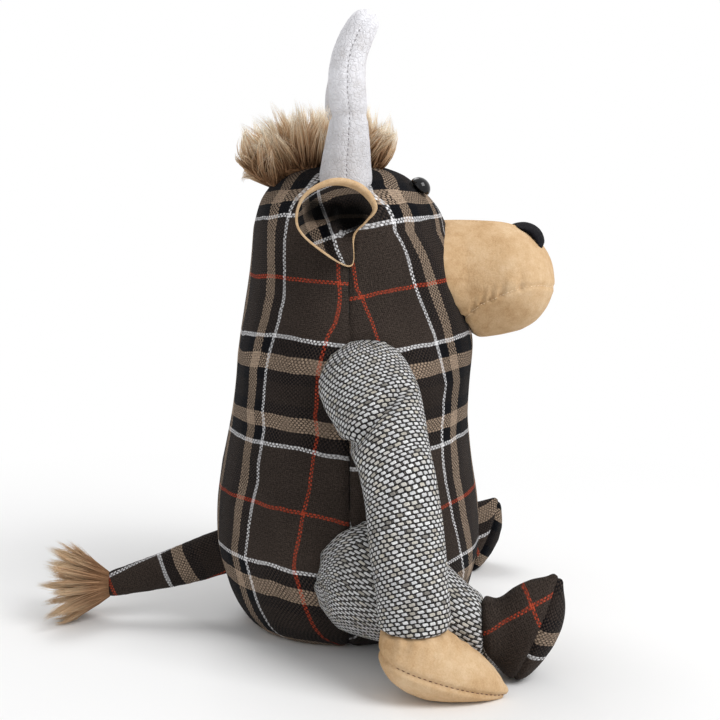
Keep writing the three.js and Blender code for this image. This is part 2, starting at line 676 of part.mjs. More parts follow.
// A pointed lock of fur from a root towards a direction
function lock(root, direction, length, radius) {
  const outline = LOCK_OUTLINE.map(([along, width]) => new THREE.Vector2(width * radius, along * length));
  const form = new THREE.LatheGeometry(outline, LOCK_SIDES);
  const upright = new THREE.Vector3(0, 1, 0);
  form.applyQuaternion(new THREE.Quaternion().setFromUnitVectors(upright, direction.clone().normalize()));
  return solidOf(form.translate(root.x, root.y, root.z));
}

function mound(centre, across, along, up) {
  const ball = new THREE.SphereGeometry(1, 14, 8).scale(across, along, up);
  return solidOf(ball.translate(centre.x, centre.y, centre.z));
}

// Heights of neighbouring locks differ, so that the outline is ragged
const raggedness = (index) => 1 - (0.2 * ((index * 7) % 5)) / 4;

function fringe() {
  const rootHeight = TEMPLE.height;
  let solid = mound(
    new THREE.Vector3(0, -FRINGE_MIDDLE, rootHeight),
    FRINGE_WIDTH / 2 + FRINGE_LOCK_RADIUS / 2,
    FRINGE_LENGTH / 2 + FRINGE_LOCK_RADIUS,
    FRINGE_MOUND + CROWN_HEIGHT - rootHeight,
  );
  for (let i = 0; i < FRINGE_LOCKS_LONG; i++) {
    const share = (2 * i) / (FRINGE_LOCKS_LONG - 1) - 1;
    for (let j = 0; j < FRINGE_LOCKS_WIDE; j++) {
      const spread = (2 * j) / (FRINGE_LOCKS_WIDE - 1) - 1;
      const lean = THREE.MathUtils.degToRad(share > 0 ? FRINGE_LEAN_FORWARD : FRINGE_LEAN_BACK) * share;
      const direction = new THREE.Vector3(0.5 * spread, -Math.sin(lean), Math.cos(lean));
      const root = new THREE.Vector3(
        (spread * FRINGE_WIDTH) / 2,
        -FRINGE_MIDDLE - (share * FRINGE_LENGTH) / 2,
        CROWN_HEIGHT - 3 - (CROWN_HEIGHT - TEMPLE.height) * 0.55 * share ** 2,
      );
      const length = FRINGE_LOCK_LENGTH * raggedness(i * FRINGE_LOCKS_WIDE + j);
      solid = solid.add(lock(root, direction, length, FRINGE_LOCK_RADIUS));
    }
  }
  return solid.subtract(bodyClearance);
}

function tailTuft() {
  const root = place(TAIL_END);
  const backwards = FORWARD.clone().negate();
  let solid = mound(root, TAIL_END.radius, TAIL_END.radius, TAIL_END.radius);
  TUFT_SPREAD.forEach((spread, ring) => {
    const count = ring === 0 ? 1 : TUFT_LOCKS;
    for (let i = 0; i < count; i++) {
      const turn = ((i + ring / 2) / count) * 2 * Math.PI;
      const fan = Math.tan(THREE.MathUtils.degToRad(spread));
      const direction = backwards.clone().addScaledVector(ACROSS, fan * Math.cos(turn));
      direction.addScaledVector(UP, fan * Math.sin(turn) - Math.tan(THREE.MathUtils.degToRad(TUFT_DROOP)));
      solid = solid.add(lock(root, direction, TUFT_LOCK_LENGTH * raggedness(i + 3 * ring), TUFT_LOCK_RADIUS));
    }
  });
  return solid.intersect(beyondPlane(root.clone().addScaledVector(backwards, SEAM_GAP), backwards));
}

// The model

const doorStop = new THREE.Group();
doorStop.name = 'cow_door_stop';

function addPiece(parent, name, geometry, material) {
  const mesh = new THREE.Mesh(geometry, material);
  mesh.name = name;
  parent.add(mesh);
  return mesh;
}

function addSolid(parent, name, solid, material) {
  return addPiece(parent, name, geometryOf(mainBody(solid).simplify(CUT_TOLERANCE)), material);
}

const torso = new THREE.Group();
addSolid(torso, 'body_front_panel', bodyFrontPanel, plaid);
addSolid(torso, 'body_back_panel', bodyBackPanel, plaid);
addSolid(torso, 'base_panel', basePanel, plaid);
addSolid(torso, 'body_filling', bodyFilling, fibre);
addPiece(torso, 'sand_bag', sandBag, canvas);
doorStop.add(torso);

const face = new THREE.Group();
addSolid(face, 'muzzle_upper_panel', muzzleUpperPanel, suede);
addSolid(face, 'muzzle_chin_panel', muzzleChinPanel, suede);
addSolid(face, 'muzzle_filling', muzzleFilling, fibre);
addSolid(face, 'nose_patch', nosePatch(), felt);
addSolid(face, 'fringe', fringe(), fur);
doorStop.add(face);

Object.entries(SIDES).forEach(([name, side], index) => {
  const { point, turn } = eyeSeats[index];
  const eye = new THREE.Group();
  eye.position.copy(point);
  eye.quaternion.copy(turn);
  addPiece(eye, `eye_${name}`, eyeGeometry(), button);
  addPiece(eye, `eye_washer_${name}`, washerGeometry(), washerPlastic);
  face.add(eye);

  addSolid(face, `horn_${name}`, horn(side), hornSuede);
  addSolid(face, `ear_outer_${name}`, earOuter(side), suede);
  addSolid(face, `ear_lining_${name}`, earLining(side), plaid);

  const limbs = new THREE.Group();
  const armParts = arm(side);
  addSolid(limbs, `arm_${name}`, armParts.sleeve, tweed);
  addSolid(limbs, `hand_upper_${name}`, armParts.upper, suede);
  addSolid(limbs, `hand_sole_${name}`, armParts.sole, suede);
  const legParts = leg(side, armParts);
  addSolid(limbs, `leg_${name}`, legParts.sleeve, tweed);
  addSolid(limbs, `foot_upper_${name}`, legParts.upper, plaid);
  addSolid(limbs, `foot_sole_${name}`, legParts.sole, plaid);
  doorStop.add(limbs);
});

addSolid(doorStop, 'tail', tail(), plaid);
addSolid(doorStop, 'tail_tuft', tailTuft(), fur);

export default doorStop;
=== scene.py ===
"""Cow door stop: the cloth, suede, fur, stitching and stuffing that go over the plain solids."""

import math

import bmesh
import bpy
import numpy as np
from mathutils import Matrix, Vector
from mathutils.bvhtree import BVHTree


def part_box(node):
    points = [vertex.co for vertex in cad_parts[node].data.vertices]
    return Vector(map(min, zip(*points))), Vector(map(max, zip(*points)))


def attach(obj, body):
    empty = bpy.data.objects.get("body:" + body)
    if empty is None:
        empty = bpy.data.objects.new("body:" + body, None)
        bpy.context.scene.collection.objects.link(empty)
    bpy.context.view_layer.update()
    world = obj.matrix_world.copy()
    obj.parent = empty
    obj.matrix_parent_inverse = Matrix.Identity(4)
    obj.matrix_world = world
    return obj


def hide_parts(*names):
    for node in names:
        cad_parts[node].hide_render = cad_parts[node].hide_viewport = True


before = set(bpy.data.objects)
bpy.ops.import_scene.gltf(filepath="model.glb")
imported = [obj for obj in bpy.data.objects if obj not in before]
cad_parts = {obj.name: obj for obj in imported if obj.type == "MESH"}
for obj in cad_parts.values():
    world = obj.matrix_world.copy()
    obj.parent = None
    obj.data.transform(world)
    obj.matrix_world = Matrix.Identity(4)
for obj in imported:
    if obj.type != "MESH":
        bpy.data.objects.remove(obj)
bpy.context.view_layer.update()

bl_info = {
    "name": "Cow Door Stop",
    "version": (1, 0, 0),
    "blender": (4, 5, 0),
    "location": "3D View > Sidebar > Cow Door Stop",
    "description": "Dresses the solids of a sitting stuffed cow door stop",
    "category": "Object",
}

MM = 0.001
FINISHES = {}
LEFT, RIGHT = 1, -1
SIDES = ((LEFT, "left"), (RIGHT, "right"))

# Body: height, then how far it reaches to the front, to the back and to the sides
BODY_LEVELS = (
    (0, 50, 50, 50), (12, 66, 61.5, 63), (50, 75, 72, 72), (88, 70, 68, 68), (122, 67, 61, 61),
    (156, 71, 58, 59), (190, 65, 52, 58), (221, 54, 49, 55), (236, 41, 42, 46), (246.5, 26, 28, 28),
    (250.5, 8, 8, 8),
)

# Horns, limb cloth and tail: points on their middle lines, out, forward and up, then the radius
HORN = (
    (36, -1, 229, 14), (42, -1, 243, 13.2), (44.5, 0, 258, 11.2), (47, 0.6, 270, 9.4),
    (49, -0.6, 281, 9.7), (51, -0.6, 291, 9.3), (53, 1, 300, 8.7), (55.5, 5.2, 309, 8.1),
    (58.5, 11.5, 319, 7),
)
ARM_CLOTH = (
    (58, 3, 165, 20), (66, 8, 145, 22), (76, 13.5, 125, 21), (88, 19, 105, 18.6), (97, 23.5, 89, 18),
    (105, 25.5, 66, 18.3), (112, 28, 43, 17.2), (117, 28, 26, 17), (120, 27, 14, 13),
)
LEG_CLOTH = (
    (62, -22, 40, 33), (66, -4, 43, 33), (77, 16, 38, 29), (84, 36, 30, 22), (91, 56, 24, 17.4),
    (94, 67, 22, 16.4), (97, 79, 22, 13),
)
TAIL = (
    (0, -58, 42, 13.5), (0, -72, 36, 12.6), (0, -90, 30, 11.4), (0, -110, 24.5, 9.4),
    (0, -131, 19.5, 7.4),
)

# Ears: points on the rim, out, forward and up, then what shapes the cup and turns the cloth in it, and where
# shade is painted into the lining's deep hollows: forward, up and reach
EAR_RIM = (
    (57, 1, 196), (67, -15, 205), (76, -25, 216), (82, -22, 229), (83, -9, 236), (79, 4, 234),
    (72, 12, 225), (67, 8, 218), (60.5, 2.4, 211),
)
EAR_TUCKED_UNDER = 0.8
EAR_CLOTH_TURN, EAR_CLOTH_SHIFT, EAR_CLOTH_TUCK = (0.93, 0.37), (25.7, 30.5), 20
EAR_PAINTED_SHADE = ((-16.5, 223.5, 4.5), (1.5, 219.5, 6.5), (-6, 222, 4.5))
EAR_BOTTOM = (60, -4, 213)
EAR_DEPTH = 5.0
EAR_RIBBON = (0.5, 0.6, 0.7, 1.6, 4.6, 5.4, 3.0, 0.5, 0.3)
EAR_RIDGE = ((-5.5, 196), (-8.5, 223))

# Folds and pleats, seen from the side, forward and up
SHOULDER_FOLD = ((-3, 110), (-1, 111.8), (3.6, 117.8), (10.4, 126.7), (19.6, 135.1), (24.5, 139.3))
THIGH_FOLD = ((-18, 41.5), (-10.3, 44.7), (-2.7, 44.9))
CHIN_PLEATS = (65, 69.5, 74, 79, 89)
CHIN_SEAM = ((60, 167), (68.7, 174.8), (83.5, 182.2), (92, 184.6), (100, 185.2), (108, 184), (113, 183.2))

# Hooves: where the heel is, how far the toe points up and out, and how their cloth lies
HAND_HEEL, HAND_PITCH, HAND_TOE_OUT = (117, 10.5, 22), -19, 4
FOOT_HEEL = {LEFT: (94, 74, -6), RIGHT: (94, 77, -1)}
FOOT_PITCH, FOOT_TOE_OUT = {LEFT: 61, RIGHT: 67}, 9
FOOT_CLOTH = {LEFT: (38, 12), RIGHT: (0, 0)}
HOOF_CROSSING, HOOF_CLOTH_TURN, SOLE_CLOTH_SHIFT = (39.8, 7.2), (0.61, 0.79), (8, 11.3)
CUFF_HEIGHT = 31
ANKLE_FORWARD = 64

# Where each piece is held while it is stuffed, in metres: an edge, and how softly it ends
MUZZLE_HELD, HORN_HELD, TAIL_HELD = (-0.058, 0.006), (0.245, 0.008), (0.074, 0.006)
SHOULDER_HELD, HIP_HELD, THIGH_BACK = (0.062, 0.006), (0.066, 0.006), -0.04
SWELL_FRAMES = 20

# Where the roots of the pieces go into the body, in metres, in the same way, and how deep they go
ARM_ROOT, LEG_ROOT, TAIL_ROOT, HORN_ROOT = (0.060, 0.008), (0.064, 0.008), (0.079, 0.008), (0.247, 0.016)
ROOT_SUNK, TAIL_SUNK, TAIL_RAISED = 0.003, 0.010, 0.003
HORN_FLARE, HORN_SUNK = 0.12, 0.0025
MUZZLE_ROOT, MUZZLE_SUNK, MUZZLE_FLARE = 0.0615, 0.0055, 0.07

# Where the outer sides of the limbs and of the chin start, in metres, in the same way
ARM_SIDE, LEG_SIDE, CHIN_SIDE = (0.066, 0.012), (0.066, 0.008), (0.022, 0.006)

# In metres: the gap over the floor, where the tuft's hair starts, and the heights over which the horns go
# from painted shade at their foot to painted light near their top
FLOOR_GAP = 0.0002
TUFT_ROOT = 0.0065
HORN_PAINTED_SHADE = (0.250, 0.292)

# Nose, in metres: half of its width and height, how full it is, and how much wider it is than its pattern
NOSE_HALF_WIDTH, NOSE_HALF_HEIGHT, NOSE_FULLNESS, NOSE_WIDENED = 0.021, 0.0105, 0.0034, 1.25

# Where the cloth's white line runs down each panel: height, and how far round from its middle
FRONT_LINE = (
    (0, 34), (33, 38), (48, 47.6), (65, 53.4), (86, 53.8), (107, 50.7), (118, 48.4), (135, 46.7),
    (157, 57.2), (185, 64.3), (213, 62), (230, 47), (241, 32.4), (250, 20),
)
BACK_LINE = (
    (0, 46), (15, 48.4), (30, 51), (47, 52), (58, 54.7), (86, 55.4), (112, 51), (122, 46.7),
    (143, 45.3), (160, 48.5), (169, 50.7), (181, 51.6), (194, 49), (209, 45.8), (221, 42.4),
    (234, 36.5), (239, 31.7), (250, 20),
)
# Height on the body, and the thread that lies there, counted up from an orange one
WEFT_LINES = (
    (-60, -242), (0, -182), (33, -151.5), (47, -141), (77.3, -111), (106.9, -81),
    (118.5, -70.5), (146.8, -40.5), (160.4, -30), (190.5, 0), (220, 30), (231, 40.5), (290, 100),
)

# The body's cloth, in millimetres: its crown and arcs, how it sags, and how it is eased where it curves in
CROWN_START, CROWN_RADIUS, FAR_ARC, FAR_LINE = 200, 52, 50, 52
SAG, SAG_MOST, FRONT_SAG_ARC, BACK_SAG_ARC = 3.5, 11, 57, 90
LEAST_REACH, WHITE_THREAD, BACK_STRETCH = 45, 30, 0.94
BROW_EASE = ((190, 212), (1, 1.35))

# The plaid's stripes, from the middle of an orange line: where each ends, and its yarn
SETT = 111
THREAD = 1.0
STRIPES = (
    (1, "orange"), (29, "brown"), (31, "white"), (37, "black"), (44, "beige"), (50, "black"),
    (61, "dark"), (67, "black"), (74, "beige"), (80, "black"), (82, "white"), (110, "brown"),
    (111, "orange"),
)

# Floats of the cloths, as shares of their threads, and the tweed's rows and columns in millimetres
PLAID_FLOAT, PLAID_THREAD_WIDTH = 0.68, 0.43
TWEED_FLOAT, TWEED_THREAD_WIDTH = 0.345, 0.365
TWEED_ROW, TWEED_COLUMN, TWEED_LEAN = 1.9, 3.8, 0.12

# Hair, in metres: how far its backing lies in, and where the fringe has its crown, middle, top and ends
BACKING_INSET = 0.002
FRINGE_CROWN, FRINGE_MIDDLE, FRINGE_TOP = 0.246, 0.010, 0.284
FRINGE_ENDS = ((0.050, 1), (-0.024, -1))
FRINGE_LOCKS, TUFT_LOCKS = 135, 60

# Lights: name, place, size and power. The camera's place is away from, above and beside the middle
LIGHTS = (
    ("key_light", (-0.8, -1.0, 1.3), 0.9, 21),
    ("fill_light", (-1.2, 0.7, 0.6), 1.0, 1.5),
    ("back_light", (0.8, 0.3, 1.3), 0.8, 7),
)
LIGHTS_AIM = (0, 0, 0.12)
SKY_LIGHT, SKY_SEEN = 0.52, 1.0
FLOOR_FADE = (0.16, 0.55)
CAMERA_AWAY, CAMERA_HEIGHT, CAMERA_BESIDE = 0.650, 0.215, 0.008
CAMERA_YAW, CAMERA_PITCH, CAMERA_LENS = 2.5, 6.3, 60


# Places and small geometry

def place(out, forward, up, side=LEFT):
    """A point given as out, forward and up in millimetres, in the frame and in metres."""
    return Vector((side * out * MM, -forward * MM, up * MM))


def eased(before, a, b, after, f):
    """The row at share f between a and b, on the smooth curve that also passes their neighbours."""
    into, out = (b - before) / 2, (after - a) / 2
    return (
        (2 * f**3 - 3 * f**2 + 1) * a + (f**3 - 2 * f**2 + f) * into
        + (-2 * f**3 + 3 * f**2) * b + (f**3 - f**2) * out
    )


def spline(points, count):
    """Points evenly spread along a smooth curve through the given rows of numbers."""
    rows = np.array(points, float)
    last = len(rows) - 1
    made = []
    for t in np.linspace(0, last, count):
        i = min(int(t), last - 1)
        a, b = rows[i], rows[i + 1]
        before = rows[i - 1] if i else 2 * a - b
        after = rows[i + 2] if i + 2 <= last else 2 * b - a
        made.append(eased(before, a, b, after, t - i))
    return np.array(made)


def unit(rows):
    return rows / np.linalg.norm(rows, axis=1)[:, None]


def nearest_of(points, others):
    """For each point, the number of the other point that lies nearest to it."""
    found = np.empty(len(points), int)
    for start in range(0, len(points), 2000):
        part = points[start:start + 2000]
        found[start:start + 2000] = np.argmin(((part[:, None] - others[None]) ** 2).sum(2), 1)
    return found


def past(value, edge, over):
    """0 up to an edge, rising to 1 a little past it."""
    return np.clip((value - edge) / over, 0, 1)


def short_of(value, edge, over):
    """1 until a little short of an edge, falling to 0 at it."""
    return np.clip((edge - value) / over, 0, 1)


def hump(value, width):
    """1 where the value is 0, dying away to both sides."""
    return np.exp(-((value / width) ** 2))


def places(obj):
    """The object's vertices as an array."""
    found = np.empty(len(obj.data.vertices) * 3)
    obj.data.vertices.foreach_get("co", found)
    return found.reshape(-1, 3)


def normals(obj):
    found = np.empty(len(obj.data.vertices) * 3)
    obj.data.vertices.foreach_get("normal", found)
    return found.reshape(-1, 3)


def move_to(obj, points):
    obj.data.vertices.foreach_set("co", np.asarray(points, float).ravel())
    obj.data.update()


def choose(obj):
    """Selects one object alone and makes it active."""
    if bpy.context.mode != "OBJECT":
        bpy.ops.object.mode_set(mode="OBJECT")
    bpy.ops.object.select_all(action="DESELECT")
    obj.select_set(True)
    bpy.context.view_layer.objects.active = obj


def finished(obj, kind, **settings):
    """Adds a modifier, sets it and applies it."""
    choose(obj)
    modifier = obj.modifiers.new(kind.title(), kind)
    for name, value in settings.items():
        setattr(modifier, name, value)
    bpy.ops.object.modifier_apply(modifier=modifier.name)


def remeshed(obj, voxel):
    """Turns a copy into one even closed skin."""
    finished(obj, "REMESH", mode="VOXEL", voxel_size=voxel * MM, use_smooth_shade=True)


def refined(obj, levels=1):
    finished(obj, "SUBSURF", levels=levels, render_levels=levels)


def in_scene(name, data):
    obj = bpy.data.objects.new(name, data)
    bpy.context.scene.collection.objects.link(obj)
    return obj


def new_object(name, vertices, faces):
    mesh = bpy.data.meshes.new(name)
    mesh.from_pydata([tuple(v) for v in vertices], [], [tuple(f) for f in faces])
    mesh.validate()
    return in_scene(name, mesh)


def pattern_of(name, nodes):
    """A new object that holds merged copies of the named solids."""
    bm = bmesh.new()
    for node in nodes:
        bm.from_mesh(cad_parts[node].data)
    bmesh.ops.remove_doubles(bm, verts=bm.verts, dist=1e-5)
    mesh = bpy.data.meshes.new(name)
    bm.to_mesh(mesh)
    bm.free()
    return in_scene(name, mesh)


def volume_and_area(obj):
    bm = bmesh.new()
    bm.from_mesh(obj.data)
    volume, area = bm.calc_volume(), sum(f.calc_area() for f in bm.faces)
    bm.free()
    return volume, area


def rounded(obj, voxel, passes):
    """Turns a copy into an even skin, smoothed at its corners and with its volume kept."""
    volume, _ = volume_and_area(obj)
    remeshed(obj, voxel)
    finished(obj, "SMOOTH", factor=0.5, iterations=passes)
    now, area = volume_and_area(obj)
    if volume > now > 0.5 * volume:
        move_to(obj, places(obj) + normals(obj) * (volume - now) / area)


def stuffed(obj, held, inset=1.2, cap=3.0, pressure=4.0):
    """Fills the skin like a cushion: it starts small and swells, held where it is sewn."""
    start = places(obj)
    volume, _ = volume_and_area(obj)
    weight = held(start)
    small = start - normals(obj) * (inset * MM * (1 - weight))[:, None]
    move_to(obj, small)
    group = obj.vertex_groups.new(name="sewn")
    for index in np.nonzero(weight > 0.02)[0]:
        group.add([int(index)], float(min(1, weight[index])), "REPLACE")
    choose(obj)
    cloth = obj.modifiers.new("Cloth", "CLOTH")
    cloth.settings.quality = 5
    cloth.settings.mass = 0.15
    cloth.settings.tension_stiffness = 12
    cloth.settings.compression_stiffness = 12
    cloth.settings.shear_stiffness = 6
    cloth.settings.bending_stiffness = 0.6
    cloth.settings.vertex_group_mass = "sewn"
    cloth.settings.use_pressure = True
    cloth.settings.uniform_pressure_force = pressure
    cloth.settings.effector_weights.gravity = 0
    cloth.point_cache.frame_start, cloth.point_cache.frame_end = 1, SWELL_FRAMES
    for step in range(1, SWELL_FRAMES + 1):
        bpy.context.scene.frame_set(step)
    bpy.ops.object.modifier_apply(modifier=cloth.name)
    bpy.context.scene.frame_set(1)
    moved = places(obj) - small
    length = np.linalg.norm(moved, axis=1)
    share = np.where(length > cap * MM, cap * MM / np.maximum(length, 1e-9), 1)
    move_to(obj, small + moved * share[:, None])
    obj.vertex_groups.clear()
    now, area = volume_and_area(obj)
    move_to(obj, places(obj) + normals(obj) * (volume - now) / area)


def cut_line(obj, point, normal):
    """Lays an edge loop on the skin where a plane crosses it."""
    bm = bmesh.new()
    bm.from_mesh(obj.data)
    bmesh.ops.bisect_plane(
        bm, geom=bm.verts[:] + bm.edges[:] + bm.faces[:], plane_co=point, plane_no=normal, dist=1e-6
    )
    bm.to_mesh(obj.data)
    bm.free()


def seam_lines(obj, point, normal, widths=(0, 0.9, -0.9, 2.2, -2.2)):
    """Edge loops beside a seam, close enough together for its groove."""
    normal = Vector(normal).normalized()
    for width in widths:
        cut_line(obj, Vector(point) + normal * width * MM, normal)


def groove(obj, distance, depth, width):
    """Pulls the skin in along a seam, where distance says how far each vertex is from it."""
    pull = depth * MM * np.exp(-((distance / (width * MM)) ** 2))
    move_to(obj, places(obj) - normals(obj) * pull[:, None])


def from_line(points, line):
    """How far each point, seen from the side, is from a line of forward and up."""
    seen = np.stack([-points[:, 1], points[:, 2]], 1) / MM
    row = np.array(line, float)
    near = np.full(len(seen), 1e9)
    for a, b in zip(row[:-1], row[1:]):
        share = np.clip(((seen - a) @ (b - a)) / ((b - a) @ (b - a)), 0, 1)
        near = np.minimum(near, np.linalg.norm(seen - a - share[:, None] * (b - a), axis=1))
    return near * MM


def surface_of(obj):
    return BVHTree.FromObject(obj, bpy.context.evaluated_depsgraph_get())


def evenly(line, pitch):
    """The same line with its points one stitch apart, each with the way out of the skin."""
    spots = np.array([list(spot) for spot, _ in line])
    outward = np.array([list(way) for _, way in line])
    run = np.concatenate([[0], np.cumsum(np.linalg.norm(np.diff(spots, axis=0), axis=1))])
    steps = np.arange(0, run[-1], pitch * MM)
    pick = lambda rows: np.stack([np.interp(steps, run, rows[:, k]) for k in range(3)], 1)
    return [(Vector(a), Vector(b).normalized()) for a, b in zip(pick(spots), pick(outward))]


def stitched(name, lines, pitch, stitch, thickness, material):
    """Small rounded stitches in rows, half sunk in the seam."""
    vertices, faces = [], []
    for line in lines:
        line = evenly(line, pitch)
        for before, (spot, outward), after in zip(line[:-2], line[1:-1], line[2:]):
            along = (after[0] - before[0]).normalized()
            beside = along.cross(outward).normalized()
            outward = beside.cross(along)
            base = len(vertices)
            for share, round_ in ((-0.5, 0.4), (-0.3, 1), (0.3, 1), (0.5, 0.4)):
                for corner in range(6):
                    a = corner * math.pi / 3
                    across = beside * math.cos(a) + outward * math.sin(a) * 0.7
                    across = across * round_ * thickness * MM / 2
                    raised = spot + outward * thickness * 0.25 * MM
                    vertices.append(raised + along * share * stitch * MM + across)
            for ring in range(3):
                for corner in range(6):
                    a, b = base + ring * 6 + corner, base + ring * 6 + (corner + 1) % 6
                    faces.append((a, b, b + 6, a + 6))
            faces.append(tuple(base + k for k in reversed(range(6))))
            faces.append(tuple(base + 18 + k for k in range(6)))
    rows = new_object(name, vertices, faces)
    turned_out(rows)
    smooth(rows)
    return dressed(rows, material)


def turned_out(obj):
    """Makes every face of a closed mesh point outwards."""
    bm = bmesh.new()
    bm.from_mesh(obj.data)
    bmesh.ops.recalc_face_normals(bm, faces=bm.faces)
    bm.to_mesh(obj.data)
    bm.free()


def smooth(obj):
    choose(obj)
    bpy.ops.object.shade_smooth()


def above_floor(obj):
    """Flattens what would go through the floor."""
    points = places(obj)
    points[:, 2] = np.maximum(points[:, 2], FLOOR_GAP)
    move_to(obj, points)


def covered(obj, material):
    obj.data.materials.clear()
    obj.data.materials.append(material)


def dressed(obj, material, nodes=()):
    """Gives a piece its finish, hangs it under the root body and hides the solids that it stands for."""
    covered(obj, material)
    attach(obj, "root")
    if nodes:
        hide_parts(*nodes)
    return obj


# Maps of the cloth, in metres along its threads

def loops_of(obj):
    """Each face corner's vertex, and the face it belongs to."""
    count = len(obj.data.loops)
    vertex = np.empty(count, int)
    obj.data.loops.foreach_get("vertex_index", vertex)
    total = np.empty(len(obj.data.polygons), int)
    obj.data.polygons.foreach_get("loop_total", total)
    return vertex, np.repeat(np.arange(len(total)), total)


def centres_of(obj):
    found = np.empty(len(obj.data.polygons) * 3)
    obj.data.polygons.foreach_get("center", found)
    return found.reshape(-1, 3)


def write_map(obj, u, v, name="weave"):
    layer = obj.data.uv_layers.get(name) or obj.data.uv_layers.new(name=name)
    layer.data.foreach_set("uv", np.stack([u, v], 1).astype(np.float32).ravel())
    obj.data.uv_layers.active = layer


def body_reach(height):
    """Front, back and side reach of the body at each height in metres."""
    rows = spline(BODY_LEVELS, 120)
    z = height / MM
    order = np.argsort(rows[:, 0])
    return tuple(np.interp(z, rows[order, 0], rows[order, k]) * MM for k in (1, 2, 3))


def plaid_on_body(obj):
    """The front and back panels are cut on their own, so each counts its threads from its own middle."""
    points = places(obj)
    vertex, face = loops_of(obj)
    front = (centres_of(obj)[:, 1] < 0)[face]
    x, y, z = points[vertex].T
    reach_front, reach_back, reach_side = body_reach(np.clip(z, 0, BODY_LEVELS[-1][0] * MM))
    reach = np.where(front, reach_front, reach_back)
    least = LEAST_REACH * MM
    radius = (np.maximum(reach, least) + np.maximum(reach_side, least)) / 2
    depth = np.hypot(np.abs(y) * reach_side / reach, np.maximum(0, z - CROWN_START * MM))
    arc = radius * np.arctan2(-x, depth) / MM
    height = z / MM
    far = np.clip(-arc / FAR_ARC, 0, 1)
    line = [np.interp(height, *zip(*rows)) for rows in (FRONT_LINE, BACK_LINE)]
    white = np.where(front, line[0], line[1]) * (1 - far) + FAR_LINE * far
    stretch = np.where(front, 1.0, BACK_STRETCH)
    squeeze = np.where(front & (arc > 0), np.interp(height, *BROW_EASE), 1.0)
    u = np.where(arc > white, (arc - white) * stretch, (arc - white) * squeeze) - WHITE_THREAD
    level = np.maximum(np.hypot(x, y) / MM, 1e-3)
    crown = CROWN_START + CROWN_RADIUS * np.arctan2(np.maximum(0, height - CROWN_START), level)
    height = np.where(height > CROWN_START, crown, height)
    sag = np.where(front, SAG * (np.abs(arc) / FRONT_SAG_ARC) ** 2, SAG * (arc / BACK_SAG_ARC) ** 4)
    v = np.interp(height + np.minimum(sag, SAG_MOST), *zip(*WEFT_LINES))
    write_map(obj, u * MM, v * MM)


def spine_map(obj, stops, side, hidden, turn=0.0, along=0.0, wrap=1.0, lengthwise=False, askew=0.0):
    """Wraps the cloth round a limb: across its threads round the limb, with the join on the hidden side."""
    rows = spline(stops, 160)
    spine = np.stack([side * rows[:, 0], -rows[:, 1], rows[:, 2]], 1) * MM
    radius = rows[:, 3] * MM
    steps = np.linalg.norm(np.diff(spine, axis=0), axis=1)
    run = np.concatenate([[0], np.cumsum(steps)])
    heading = unit(np.gradient(spine, axis=0))
    points = places(obj)
    nearest = nearest_of(points, spine)
    offset = points - spine[nearest]
    t = heading[nearest]
    away = -np.array(hidden, float)[None] * np.ones_like(t)
    away = unit(away - t * (away * t).sum(1)[:, None])
    beside = np.cross(t, away)
    angle = np.arctan2((offset * beside).sum(1), (offset * away).sum(1))
    v = run[nearest] + (offset * t).sum(1)
    vertex, face = loops_of(obj)
    a = angle[vertex]
    first = np.full(len(obj.data.polygons), -9.0)
    np.maximum.at(first, face, a)
    a = np.where(first[face] - a > math.pi, a + 2 * math.pi, a)
    u, v = a * radius[nearest][vertex] * wrap + turn * MM, v[vertex] + along * MM
    lean = math.radians(askew)
    u, v = u * math.cos(lean) + v * math.sin(lean), v * math.cos(lean) - u * math.sin(lean)
    write_map(obj, *((v, u) if lengthwise else (u, v)))


# Finishes

